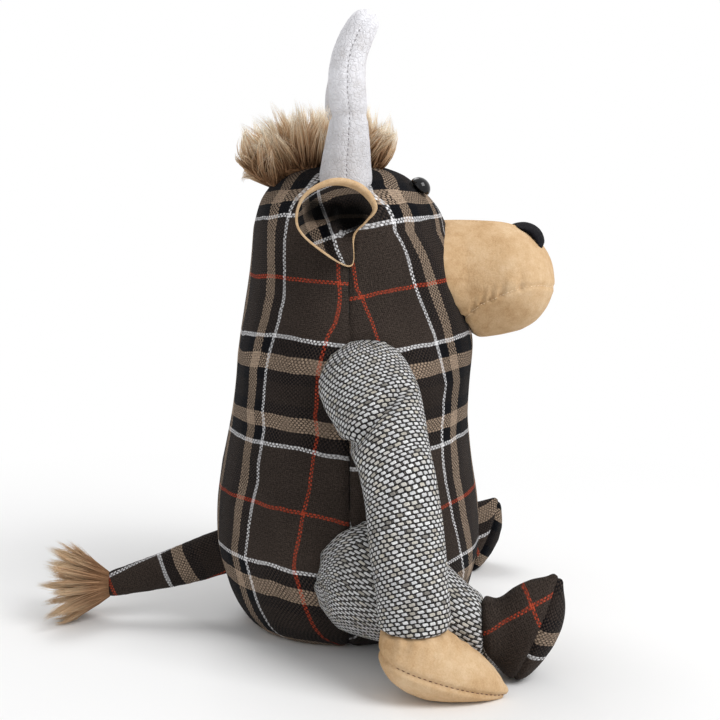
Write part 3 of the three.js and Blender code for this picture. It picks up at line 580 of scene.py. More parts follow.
class Finish:
    """A material and the few steps that its nodes are built from."""

    def __init__(self, name, roughness, sheen=0.0, sheen_roughness=0.5, specular=0.3, sheen_tint=(1, 1, 1)):
        self.material = bpy.data.materials.new(name)
        self.material.use_nodes = True
        self.tree = self.material.node_tree
        self.shader = self.tree.nodes["Principled BSDF"]
        self.shader.inputs["Roughness"].default_value = roughness
        self.shader.inputs["Sheen Weight"].default_value = sheen
        self.shader.inputs["Sheen Roughness"].default_value = sheen_roughness
        self.shader.inputs["Sheen Tint"].default_value = (*sheen_tint, 1)
        self.shader.inputs["Specular IOR Level"].default_value = specular

    def put(self, socket, value):
        if hasattr(value, "is_output"):
            self.tree.links.new(value, socket)
        elif value is not None:
            socket.default_value = value

    def step(self, kind, settings=None, **inputs):
        node = self.tree.nodes.new(kind)
        for name, value in (settings or {}).items():
            setattr(node, name, value)
        for name, value in inputs.items():
            self.put(node.inputs[name.replace("_", " ")], value)
        return node

    def math(self, operation, a, b=None):
        node = self.tree.nodes.new("ShaderNodeMath")
        node.operation = operation
        self.put(node.inputs[0], a)
        self.put(node.inputs[1], b)
        return node.outputs[0]

    def plus(self, a, b):
        return self.math("ADD", a, b)

    def times(self, a, b):
        return self.math("MULTIPLY", a, b)

    def minus(self, a, b):
        return self.math("SUBTRACT", a, b)

    def over(self, a, b):
        return self.math("DIVIDE", a, b)

    def mix(self, share, a, b, blend="MIX"):
        node = self.tree.nodes.new("ShaderNodeMix")
        node.data_type, node.blend_type = "RGBA", blend
        for index, value in ((0, share), (6, a), (7, b)):
            if isinstance(value, tuple) and len(value) == 3:
                value = (*value, 1)
            self.put(node.inputs[index], value)
        return node.outputs[2]

    def weave(self):
        """The cloth's own coordinates, in metres: across, along and both together."""
        uv = self.step("ShaderNodeUVMap", {"uv_map": "weave"}).outputs[0]
        parts = self.step("ShaderNodeSeparateXYZ", Vector=uv)
        return parts.outputs[0], parts.outputs[1], uv

    def surface(self):
        return self.step("ShaderNodeTexCoord").outputs["Object"]

    def math_vector(self, where, amount, reach):
        """A place nudged all the same way by a varying amount."""
        nudge = self.times(amount, reach)
        pushed = self.step("ShaderNodeCombineXYZ", X=nudge, Y=nudge, Z=nudge).outputs[0]
        node = self.step("ShaderNodeVectorMath", {"operation": "ADD"})
        self.put(node.inputs[0], where)
        self.put(node.inputs[1], pushed)
        return node.outputs[0]

    def noise(self, where, scale, detail=3.0, roughness=0.5):
        return self.step(
            "ShaderNodeTexNoise", Vector=where, Scale=scale, Detail=detail, Roughness=roughness
        ).outputs["Fac"]

    def spread(self, value, low, high, to_low=0.0, to_high=1.0):
        node = self.step("ShaderNodeMapRange", Value=value)
        for name, number in (("From Min", low), ("From Max", high), ("To Min", to_low), ("To Max", to_high)):
            node.inputs[name].default_value = number
        return node.outputs[0]

    def ramp(self, value, stops, interpolation="LINEAR"):
        node = self.step("ShaderNodeValToRGB", Fac=value)
        band = node.color_ramp
        band.interpolation = interpolation
        while len(band.elements) > 1:
            band.elements.remove(band.elements[-1])
        band.elements[0].position = stops[0][0]
        band.elements[0].color = (*stops[0][1][:3], 1)
        for position, colour in stops[1:]:
            band.elements.new(position).color = (*colour[:3], 1)
        return node.outputs[0]

    def tinted(self, colour, amount):
        """The colour made darker or lighter by an amount around one."""
        grey = self.step("ShaderNodeCombineColor", Red=amount, Green=amount, Blue=amount).outputs[0]
        return self.mix(1.0, colour, grey, "MULTIPLY")

    def relief(self, height, distance, strength):
        return self.step("ShaderNodeBump", Height=height, Distance=distance, Strength=strength).outputs[0]

    def done(self, colour, normal=None):
        self.put(self.shader.inputs["Base Color"], colour)
        if normal is not None:
            self.put(self.shader.inputs["Normal"], normal)
        return self.material


def plaid_cloth(colours, name="wool_plaid", hollow=False):
    """Brushed wool in plain weave: each thread shows as a row of short floats between the ones it crosses. On
    the ear lining, shade is painted into its deep hollows.
    """
    cloth = Finish(name, 0.95, sheen=0.04, sheen_roughness=0.4, specular=0.05)
    yarn = {
        "orange": colours.orange, "brown": colours.brown, "white": colours.white,
        "black": colours.black, "beige": colours.beige, "dark": colours.dark,
    }
    across, along, uv = cloth.weave()
    drift = cloth.spread(cloth.noise(cloth.surface(), 45, 2), 0.3, 0.7, -0.8, 0.8)
    stops, start = [], 0.0
    for end, name in STRIPES:
        stops.append((start / SETT, yarn[name]))
        start = end
    counted, thread, dyed = [], [], []
    for direction in (across, along):
        count = cloth.plus(cloth.over(direction, THREAD * MM), drift)
        number = cloth.math("FLOOR", count)
        share = cloth.over(cloth.plus(number, 0.5), SETT / THREAD)
        counted.append(count)
        thread.append(number)
        dyed.append(cloth.ramp(cloth.math("FRACT", share), stops, "CONSTANT"))

    def float_of(running, number, crossing, shift):
        """How far a place is from the middle of the thread's nearest float, over 1 where it dips under."""
        turn = cloth.over(cloth.plus(cloth.plus(running, number), shift), 2.0)
        length = cloth.times(cloth.minus(cloth.math("FRACT", turn), 0.5), 2.0 / PLAID_FLOAT)
        width = cloth.over(cloth.minus(cloth.math("FRACT", crossing), 0.5), PLAID_THREAD_WIDTH)
        return cloth.plus(cloth.times(length, length), cloth.times(width, width))

    weft = float_of(counted[0], thread[1], counted[1], 0.5)
    warp = float_of(counted[1], thread[0], counted[0], 1.5)
    gap = cloth.mix(1.0, cloth.mix(0.5, dyed[0], dyed[1]), (0.34, 0.32, 0.32), "MULTIPLY")
    colour = cloth.mix(cloth.spread(warp, 1.2, 0.8), gap, dyed[0])
    colour = cloth.mix(cloth.spread(weft, 1.2, 0.8), colour, dyed[1])
    brushed = cloth.mix(0.5, dyed[0], dyed[1])
    nap = cloth.spread(cloth.noise(cloth.surface(), 75, 4, 0.65), 0.42, 0.68, 0.12, 0.8)
    colour = cloth.mix(nap, colour, brushed)
    fleck = cloth.spread(cloth.noise(uv, 1100, 3, 0.7), 0.32, 0.68, 0.45, 1.5)
    worn = cloth.spread(cloth.noise(cloth.surface(), 26, 3), 0.3, 0.7, 0.8, 1.15)
    colour = cloth.tinted(cloth.tinted(colour, fleck), worn)
    lint = cloth.spread(cloth.noise(uv, 1700, 2, 0.6), 0.66, 0.76, 0, 0.35)
    colour = cloth.mix(lint, colour, tuple(colours.lint))
    # Painted shade: the ear lining is darkened to near black where its map marks a deep hollow
    if hollow:
        inside = cloth.step("ShaderNodeUVMap", {"uv_map": "hollow"}).outputs[0]
        inside = cloth.step("ShaderNodeSeparateXYZ", Vector=inside).outputs[0]
        colour = cloth.tinted(colour, cloth.spread(inside, 0, 1, 1.0, 0.07))
    height = cloth.minus(1.2, cloth.math("MINIMUM", cloth.math("MINIMUM", weft, warp), 1.2))
    height = cloth.plus(cloth.times(height, 0.5), cloth.noise(uv, 1800, 3))
    return cloth.done(colour, cloth.relief(height, 0.00035, 0.9))


def tweed_cloth(colours):
    """Black cloth with short cream floats in leaning rows, each row shifted by half."""
    cloth = Finish("wool_tweed", 0.9, sheen=0.08, sheen_roughness=0.45, specular=0.1)
    across, along, uv = cloth.weave()
    waver = cloth.spread(cloth.noise(uv, 240, 2), 0.3, 0.7, -0.08, 0.08)
    leaning = cloth.minus(along, cloth.times(across, TWEED_LEAN))
    row = cloth.plus(cloth.over(leaning, TWEED_ROW * MM), waver)
    number = cloth.math("FLOOR", row)
    odd = cloth.times(cloth.math("FLOORED_MODULO", number, 2.0), 0.5)
    shift = cloth.plus(odd, cloth.times(cloth.math("FRACT", row), 0.16))
    column = cloth.plus(cloth.plus(cloth.over(across, TWEED_COLUMN * MM), shift), waver)
    cell = cloth.step("ShaderNodeCombineXYZ", X=cloth.math("FLOOR", column), Y=number).outputs[0]
    chance = cloth.step("ShaderNodeTexWhiteNoise", {"noise_dimensions": "2D"}, Vector=cell).outputs[0]
    dx = cloth.math("ABSOLUTE", cloth.minus(cloth.math("FRACT", column), 0.5))
    dy = cloth.math("ABSOLUTE", cloth.minus(cloth.math("FRACT", row), 0.5))
    ex = cloth.math("POWER", cloth.over(dx, TWEED_FLOAT), 5.0)
    ey = cloth.math("POWER", cloth.over(dy, TWEED_THREAD_WIDTH), 4.5)
    inside = cloth.minus(1.0, cloth.plus(ex, ey))
    fray = cloth.spread(cloth.noise(uv, 1500, 3, 0.7), 0.3, 0.7, -0.4, 0.6)
    inside = cloth.plus(inside, fray)
    dash = cloth.spread(inside, -0.15, 0.25)
    cream = cloth.ramp(chance, (
        (0.0, colours.tweed_shade), (0.07, colours.cream), (0.45, colours.white), (1.0, colours.tweed_white),
    ))
    streaks = cloth.step("ShaderNodeMapping", Vector=uv, Scale=(1, 5, 1)).outputs[0]
    fibre = cloth.spread(cloth.noise(streaks, 800, 2), 0.3, 0.7, 0.84, 1.3)
    cream = cloth.tinted(cream, fibre)
    between = cloth.minus(cloth.math("FRACT", cloth.plus(column, 0.5)), 0.5)
    beside = cloth.spread(cloth.math("ABSOLUTE", between), 0.12, 0.05)
    tick = cloth.times(beside, cloth.spread(dy, 0.34, 0.24))
    ground = cloth.ramp(cloth.noise(uv, 1300, 3), ((0.45, colours.black), (0.7, colours.tweed_ground)))
    ground = cloth.mix(cloth.times(tick, 0.3), ground, tuple(colours.tweed_shade))
    colour = cloth.mix(dash, ground, cream)
    shade = cloth.spread(cloth.noise(cloth.surface(), 40, 3), 0.3, 0.7, 0.88, 1.06)
    colour = cloth.tinted(colour, shade)
    fuzz = cloth.times(cloth.noise(uv, 2400, 2), 0.5)
    height = cloth.plus(cloth.math("MAXIMUM", inside, -0.2), fuzz)
    return cloth.done(colour, cloth.relief(height, 0.0007, 0.9))


def suede(name, light, middle, deep, creased, painted_height_shade=None):
    """Brushed suede with soft clouding, a fine nap and shallow creases, and on the horns painted shade at the
    foot and painted light towards the top.
    """
    skin = Finish(name, 0.95, sheen=0.15, sheen_roughness=0.4, specular=0.12, sheen_tint=tuple(light[:3]))
    where = skin.surface()
    cloud = skin.noise(where, 34, 4, 0.6)
    nap = skin.noise(where, 1100, 4, 0.75)
    brushed = skin.noise(where, 210, 3, 0.6)
    tone = skin.plus(skin.times(cloud, 0.5), skin.times(nap, 0.28))
    tone = skin.plus(tone, skin.times(brushed, 0.22))
    colour = skin.ramp(tone, ((0.38, deep), (0.5, middle), (0.62, light)))
    # Painted shade and light: the horns darken towards their foot and lighten towards their top, as light
    # falls from above
    if painted_height_shade:
        height = skin.step("ShaderNodeSeparateXYZ", Vector=where).outputs[2]
        colour = skin.tinted(colour, skin.spread(height, painted_height_shade[0], painted_height_shade[1], 0.8, 1.05))
    cells = skin.step(
        "ShaderNodeTexVoronoi", {"feature": "DISTANCE_TO_EDGE"},
        Vector=skin.math_vector(where, skin.noise(where, 120, 2), 0.006), Scale=420.0,
    ).outputs["Distance"]
    height = skin.plus(skin.times(nap, 0.8), skin.times(brushed, 0.9))
    height = skin.plus(height, skin.times(skin.spread(cells, 0.0, 0.12), creased))
    return skin.done(colour, skin.relief(height, 0.0005, 0.6))


def felt(colours):
    pad = Finish("nose_felt_wool", 0.95, sheen=0.03, sheen_roughness=0.5, specular=0.05)
    where = pad.surface()
    hair = pad.noise(where, 1100, 5, 0.75)
    colour = pad.ramp(hair, ((0.35, colours.eye), (0.75, colours.felt_hair)))
    return pad.done(colour, pad.relief(hair, 0.0005, 0.6))


def fur(colours):
    """Long hair, dark at the root and pale at the tip. The map holds each hair's chance and its length."""
    hair = Finish("long_brown_hair", 0.6, specular=0.2)
    chance, reach, _ = hair.weave()
    base = hair.ramp(reach, (
        (0.0, colours.fur_root), (0.2, colours.fur_root), (0.55, colours.fur_middle), (0.9, colours.fur_tip),
    ))
    dark = hair.ramp(reach, ((0.0, colours.fur_root), (0.6, colours.fur_dark), (1.0, colours.fur_middle)))
    colour = hair.mix(hair.math("GREATER_THAN", chance, 0.72), base, dark)
    return hair.done(hair.tinted(colour, hair.spread(chance, 0, 1, 0.82, 1.2)))


def thread_finish(name, colour, shade):
    thread = Finish(name, 0.7, sheen=0.1, specular=0.25)
    twist = thread.step(
        "ShaderNodeTexWave", Vector=thread.surface(), Scale=700.0, Distortion=2.0
    ).outputs["Fac"]
    tone = thread.ramp(twist, ((0.2, shade), (0.8, colour)))
    return thread.done(tone, thread.relief(twist, 0.0002, 0.5))


def eye_plastic(colours):
    eye = Finish("glossy_eye", 0.08, specular=0.22)
    eye.shader.inputs["Coat Weight"].default_value = 0.15
    eye.shader.inputs["Coat Roughness"].default_value = 0.02
    speck = eye.noise(eye.surface(), 600, 3)
    return eye.done(eye.ramp(speck, ((0.3, colours.eye), (0.8, colours.eye_glint))))


def washer_plastic(colours):
    ring = Finish("white_washer", 0.45, specular=0.4)
    grain = ring.noise(ring.surface(), 350, 3)
    colour = ring.ramp(grain, ((0.3, colours.washer), (0.7, colours.washer_edge)))
    return ring.done(colour, ring.relief(grain, 0.0001, 0.4))


def sand_cotton(colours):
    bag = Finish("sand_bag_cotton", 0.9, sheen=0.2, specular=0.15)
    where = bag.surface()
    grain = bag.noise(where, 700, 4, 0.7)
    colour = bag.ramp(grain, ((0.35, colours.cotton_shade), (0.65, colours.cotton)))
    return bag.done(colour, bag.relief(grain, 0.0006, 0.7))


def finish_of(name):
    """Each finish is made once, when the first piece asks for it."""
    if name in FINISHES:
        return FINISHES[name]
    c = bpy.context.scene.cow_stop_colours
    makers = {
        "plaid_cloth": lambda: plaid_cloth(c),
        "plaid_lining": lambda: plaid_cloth(c, "wool_plaid_lining", hollow=True),
        "tweed_cloth": lambda: tweed_cloth(c),
        "tan_suede": lambda: suede(
            "brushed_tan_suede", c.suede_light, c.suede, c.suede_deep, creased=0.15,
        ),
        "grey_suede": lambda: suede(
            "brushed_grey_suede", c.horn_light, c.horn, c.horn_deep, creased=0.9, painted_height_shade=HORN_PAINTED_SHADE,
        ),
        "black_felt": lambda: felt(c),
        "brown_fur": lambda: fur(c),
        "tan_thread": lambda: thread_finish("tan_thread", c.stitch, c.stitch_shade),
        "brown_thread": lambda: thread_finish("brown_thread", c.hoof_stitch, c.hoof_stitch_shade),
        "grey_thread": lambda: thread_finish("grey_thread", c.horn_stitch, c.horn_stitch_shade),
        "black_eye_plastic": lambda: eye_plastic(c),
        "washer_plastic": lambda: washer_plastic(c),
        "bagged_sand": lambda: sand_cotton(c),
    }
    FINISHES[name] = makers[name]()
    return FINISHES[name]


# Sizes and colours

def length(name, description, value):
    return bpy.props.FloatProperty(
        name=name, description=description, default=value * MM, unit="LENGTH", min=0
    )


def hairs(name, description, value, least):
    return bpy.props.IntProperty(name=name, description=description, default=value, min=least)


def colour(name, description, value):
    """A colour written as it looks on screen, from 0 to 255, and kept as light."""
    linear = [((v / 255 + 0.055) / 1.055) ** 2.4 if v > 10 else v / 255 / 12.92 for v in value]
    return bpy.props.FloatVectorProperty(
        name=name, description=description, subtype="COLOR", size=3, default=linear, min=0, max=1
    )


class CowStopSizes(bpy.types.PropertyGroup):
    body_swell: length("Body swell", "Most that the stuffing pushes the body's skin out", 3)
    limb_swell: length("Limb swell", "Most that the stuffing pushes a limb's skin out", 2)
    seam_depth: length("Seam depth", "How deep the seams pull the skin in", 1.6)
    seam_width: length("Seam width", "How wide the groove of a seam is", 2.2)
    hair_width: length("Hair width", "Thickness of one hair of the fringe and the tail tuft", 0.5)
    hair_length: length("Fringe length", "Length of the fringe's hair", 32)
    tuft_length: length("Tuft length", "Length of the tail tuft's hair", 35)
    fringe_hairs: hairs("Fringe hairs", "How many hairs the fringe has", 6800, 500)
    tuft_hairs: hairs("Tuft hairs", "How many hairs the tail tuft has", 3000, 300)
    floor_size: length("Floor size", "Width of the floor under the door stop", 6000)


class CowStopColours(bpy.types.PropertyGroup):
    brown: colour("Brown yarn", "Ground of the plaid", (60, 52, 47))
    black: colour("Black yarn", "Black bands of the plaid and ground of the tweed", (15, 16, 20))
    dark: colour("Dark yarn", "Dark band between the beige ones", (33, 29, 28))
    beige: colour("Beige yarn", "Beige bands of the plaid", (162, 142, 123))
    white: colour("White yarn", "White lines of the plaid and the palest floats", (222, 222, 224))
    orange: colour("Orange yarn", "Orange lines of the plaid", (168, 70, 48))
    cream: colour("Cream yarn", "Floats of the tweed", (222, 216, 204))
    tweed_white: colour("White float", "Brightest floats of the tweed", (255, 255, 255))
    lint: colour("Lint", "Pale fibres caught in the plaid's nap", (96, 92, 98))
    tweed_shade: colour("Tweed shade", "Duller floats of the tweed", (150, 146, 140))
    tweed_ground: colour("Tweed ground", "Lighter fibres in the tweed's ground", (66, 62, 60))
    suede_light: colour("Suede, light", "Raised nap of the tan suede", (216, 188, 152))
    suede: colour("Suede", "Tan suede of the muzzle, ears and hand hooves", (202, 169, 130))
    suede_deep: colour("Suede, deep", "Tan suede in its hollows", (180, 144, 102))
    horn_light: colour("Horn, light", "Raised nap of the horns", (240, 240, 245))
    horn: colour("Horn", "Pale grey suede of the horns", (224, 223, 227))
    horn_deep: colour("Horn, deep", "Grey suede in its hollows", (198, 194, 194))
    felt_hair: colour("Felt hair", "Lighter fibres of the nose", (34, 33, 38))
    fur_root: colour("Fur root", "Dark foot of the hair", (158, 120, 88))
    fur_dark: colour("Fur, dark", "Dark hairs near their end", (204, 168, 132))
    fur_middle: colour("Fur, middle", "Brown part of the hair", (228, 200, 164))
    fur_tip: colour("Fur tip", "Pale end of the hair", (255, 246, 226))
    stitch: colour("Stitch", "Top stitching on the tan suede", (238, 216, 182))
    stitch_shade: colour("Stitch shade", "Shaded side of the tan thread", (206, 176, 136))
    hoof_stitch: colour("Hoof stitch", "Brown thread of the hooves' seams", (128, 82, 58))
    hoof_stitch_shade: colour("Hoof stitch shade", "Shaded side of the brown thread", (84, 52, 38))
    horn_stitch: colour("Horn stitch", "Thread of the horns' seam", (176, 173, 176))
    horn_stitch_shade: colour("Horn stitch shade", "Shaded side of the horns' thread", (132, 129, 132))
    eye: colour("Eye", "Black of the eyes", (6, 6, 8))
    eye_glint: colour("Eye, lighter", "Slight clouding in the eyes", (14, 14, 18))
    washer: colour("Washer", "Plastic of the eye washers", (210, 208, 200))
    washer_edge: colour("Washer edge", "Lighter grain of the washers", (226, 224, 218))
    cotton: colour("Sand bag", "Cotton of the sand bag", (206, 196, 176))
    cotton_shade: colour("Sand bag shade", "Weave of the sand bag", (168, 156, 134))
    backdrop: colour("Floor", "Pale floor", (240, 240, 240))


# Pieces

def build_body(sizes):
    body = pattern_of("body_stuffed", (
        "body_filling", "sand_bag", "body_front_panel", "body_back_panel", "base_panel",
    ))
    rounded(body, voxel=4.5, passes=10)

    def held(points):
        side_seam = hump(points[:, 1], 0.004) * 0.9
        base = np.clip(1 - points[:, 2] / 0.006, 0, 1)
        return np.clip(side_seam + base, 0, 1)

    stuffed(body, held, inset=1.5, cap=sizes.body_swell / MM)
    refined(body)
    seam_lines(body, (0, 0, 0), (0, 1, 0))
    groove(body, np.abs(places(body)[:, 1]), sizes.seam_depth / MM, sizes.seam_width / MM)
    above_floor(body)
    smooth(body)
    plaid_on_body(body)
    dressed(
        body, finish_of("plaid_cloth"),
        ("body_front_panel", "body_back_panel", "body_filling", "base_panel"),
    )


def build_muzzle():
    muzzle = pattern_of("muzzle_stuffed", ("muzzle_filling", "muzzle_upper_panel", "muzzle_chin_panel"))
    rounded(muzzle, voxel=2.5, passes=8)
    forward = np.array([p[0] for p in CHIN_SEAM]) * MM
    height = np.array([p[1] for p in CHIN_SEAM]) * MM

    def from_seam(points):
        return points[:, 2] - np.interp(-points[:, 1], forward, height)

    def held(points):
        root = past(points[:, 1], *MUZZLE_HELD)
        return np.clip(root + 0.8 * hump(from_seam(points), 0.003), 0, 1)

    stuffed(muzzle, held, inset=1.0, cap=2.5)
    refined(muzzle)
    distance = from_seam(places(muzzle))
    groove(muzzle, distance, depth=0.9, width=1.3)
    points = places(muzzle)
    reach = np.clip(distance / 0.010, 0, 1)
    fade = np.where(distance > -0.0005, (1 - reach) ** 1.3, 0)
    pleats = sum(hump(-points[:, 1] - f * MM - distance * 0.1, 0.0012) for f in CHIN_PLEATS)
    sides = past(np.abs(points[:, 0]), *CHIN_SIDE)
    points = points - normals(muzzle) * (pleats * fade * sides * 0.0017)[:, None]
    root = past(points[:, 1], -MUZZLE_ROOT, 0.007)
    points[:, 1] += root * MUZZLE_SUNK
    points[:, 0] *= 1 + root * MUZZLE_FLARE
    move_to(muzzle, points)
    smooth(muzzle)
    dressed(
        muzzle, finish_of("tan_suede"),
        ("muzzle_upper_panel", "muzzle_chin_panel", "muzzle_filling"),
    )
    skin, line = surface_of(muzzle), []
    for turn in np.radians(np.linspace(-140, 140, 181)):
        way = Vector((math.sin(turn), -math.cos(turn), 0))
        level = 0.180
        for _ in range(4):
            spot, outward, _, _ = skin.ray_cast(Vector((0, -0.084, level)) + way * 0.09, -way)
            level = float(np.interp(-spot.y, forward, height)) if spot else level
        if spot and -spot.y > MUZZLE_ROOT:
            line.append((spot, outward))
    stitched(
        "chin_stitches", [line], pitch=2.3, stitch=1.7, thickness=0.42,
        material=finish_of("tan_thread"),
    )


def build_nose():
    plain = pattern_of("muzzle_form", ("muzzle_upper_panel", "muzzle_chin_panel"))
    form, skin = surface_of(plain), surface_of(bpy.data.objects["muzzle_stuffed"])
    bpy.data.objects.remove(plain)
    nose = pattern_of("nose_felt", ("nose_patch",))
    remeshed(nose, voxel=0.7)
    finished(nose, "SMOOTH", factor=0.5, iterations=3)
    laid = []
    middle = places(nose).mean(0)
    for spot in places(nose):
        _, _, _, lift = form.find_nearest(Vector(spot))
        wide = Vector(((spot[0] - middle[0]) * NOSE_WIDENED + middle[0], spot[1], spot[2]))
        under, outward, _, _ = skin.find_nearest(wide)
        ahead = (Vector(spot) - Vector(middle)).dot(Vector((0, -1, -1))) / math.sqrt(2)
        off = ((spot[0] - middle[0]) / NOSE_HALF_WIDTH) ** 2 + (ahead / NOSE_HALF_HEIGHT) ** 2
        full = max(0, 1 - off)
        padding = NOSE_FULLNESS * full * min(1, lift / 0.001)
        laid.append(under + outward * (lift * (0.35 + 0.65 * full) - 0.0001 + padding))
    move_to(nose, [list(spot) for spot in laid])
    smooth(nose)
    dressed(nose, finish_of("black_felt"), ("nose_patch",))


def build_eyes():
    for _, name in SIDES:
        eye = pattern_of(f"eye_dome_{name}", (f"eye_{name}",))
        refined(eye, levels=2)
        low, high = (np.array(corner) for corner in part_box(f"eye_{name}"))
        middle = (low + high) / 2
        move_to(eye, middle + (places(eye) - middle) * 1.14)
        smooth(eye)
        dressed(eye, finish_of("black_eye_plastic"), (f"eye_{name}",))
        covered(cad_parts[f"eye_washer_{name}"], finish_of("washer_plastic"))
    covered(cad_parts["sand_bag"], finish_of("bagged_sand"))


def build_horns():
    for side, name in SIDES:
        horn = pattern_of(f"horn_stuffed_{name}", (f"horn_{name}",))
        rounded(horn, voxel=1.8, passes=5)
        middle = place(*HORN[5][:3], side)

        def held(points):
            return short_of(points[:, 2], *HORN_HELD)

        stuffed(horn, held, inset=0.5, cap=1.2)
        refined(horn)
        crease = np.abs(places(horn)[:, 2] - HORN[3][2] * MM)
        inner = np.clip(-side * (places(horn)[:, 0] - middle.x) / 0.006, 0, 1)
        groove(horn, crease, depth=0.5, width=2.4)
        groove(horn, np.where(inner > 0.3, crease, 1), depth=0.5, width=1.6)
        outward = side * (places(horn)[:, 0] - middle.x)
        levels, line = [h[2] * MM for h in HORN], [-h[1] * MM for h in HORN]
        seam = np.abs(places(horn)[:, 1] - np.interp(places(horn)[:, 2], levels, line))
        groove(horn, np.where(outward > -0.004, seam, 1), depth=0.45, width=0.8)
        points = places(horn)
        base = short_of(points[:, 2], *HORN_ROOT) ** 1.5
        foot = np.array(place(*HORN[0][:3], side))
        points[:, :2] += (points[:, :2] - foot[:2]) * (base * HORN_FLARE)[:, None]
        points[:, 2] -= base * HORN_SUNK
        move_to(horn, points)
        smooth(horn)
        dressed(horn, finish_of("grey_suede"), (f"horn_{name}",))
        skin, seam = surface_of(horn), []
        for level in np.linspace(0.238, 0.312, 90):
            start = Vector((side * 0.12, float(np.interp(level, levels, line)), level))
            spot, way, _, _ = skin.ray_cast(start, Vector((-side, 0, 0)))
            if spot:
                seam.append((spot, way))
        stitched(
            f"horn_stitches_{name}", [seam], pitch=2.5, stitch=1.3, thickness=0.42,
            material=finish_of("grey_thread"),
        )


def ear_rim(turns):
    """The rim as a smooth loop, and the ribbon's width at each of its points."""
    rim = np.array([(*p, w) for p, w in zip(EAR_RIM, EAR_RIBBON)], float)
    loop, count = [], len(rim)
    for t in np.linspace(0, count, turns, endpoint=False):
        i = int(t)
        loop.append(eased(rim[i - 1], rim[i], rim[(i + 1) % count], rim[(i + 2) % count], t - i))
    loop = np.array(loop)
    return loop[:, :3], np.maximum(loop[:, 3], 0.6)


def ear_cup(loop, share):
    """Places on the deep cup of the ear, from its bottom at 0 to its rim at 1, with the ridge in it."""
    bottom = np.array(EAR_BOTTOM, float)
    share = np.broadcast_to(share, (len(share), len(loop)))[:, :, None]
    made = bottom + (loop - bottom)[None] * share
    made[:, :, 0] = bottom[0] + (loop[None, :, 0] - bottom[0]) * share[:, :, 0] ** EAR_DEPTH
    low, high = (np.array(end, float) for end in EAR_RIDGE)
    seen = made[:, :, 1:] - low
    run = (seen @ (high - low)) / ((high - low) @ (high - low))
    off = np.linalg.norm(seen - np.clip(run, 0, 1)[:, :, None] * (high - low), axis=2)
    ridge = 5.0 * hump(off, 3.0) * short_of(share[:, :, 0], 1, 0.3)
    made[:, :, 0] += ridge
    return made


def ear_layer(loop, share, offset):
    """The cup moved towards its hollow by an offset."""
    share = np.broadcast_to(share, (len(share), len(loop)))
    made = ear_cup(loop, share)
    outwards = ear_cup(loop, share + 0.01) - ear_cup(loop, share - 0.01)
    around = np.roll(made, -1, 1) - np.roll(made, 1, 1)
    facing = np.cross(around, outwards)
    facing /= np.maximum(np.linalg.norm(facing, axis=2), 1e-9)[:, :, None]
    if facing[:, :, 0].mean() < 0:
        facing = -facing
    outwards /= np.linalg.norm(outwards, axis=2)[:, :, None]
    offset = np.broadcast_to(offset, (len(loop),))[None, :, None]
    return made + facing * offset, facing, outwards


def ear_shell(name, rings, side):
    """Closes rings of points, given as out, forward and up, into one skin."""
    count = rings.shape[1]
    rows = rings.reshape(-1, 3)
    rows = np.vstack([rows, rings[0].mean(0), rings[-1].mean(0)])
    vertices = np.stack([side * rows[:, 0], -rows[:, 1], rows[:, 2]], 1) * MM
    faces = []
    for ring in range(len(rings) - 1):
        for k in range(count):
            a, b = ring * count + k, ring * count + (k + 1) % count
            faces.append((a, b, b + count, a + count))
    last = (len(rings) - 1) * count
    for k in range(count):
        faces.append((k, (k + 1) % count, len(rows) - 2))
        faces.append((last + k, last + (k + 1) % count, len(rows) - 1))
    shell = new_object(name, vertices, faces)
    turned_out(shell)
    return shell


def both_faces(values):
    """Values for the rings of the lining's front and back, and zeros for the two points that close it."""
    rest = values.shape[2:]
    return np.concatenate([np.concatenate([values, values[::-1]]).reshape(-1, *rest), np.zeros((2, *rest))])


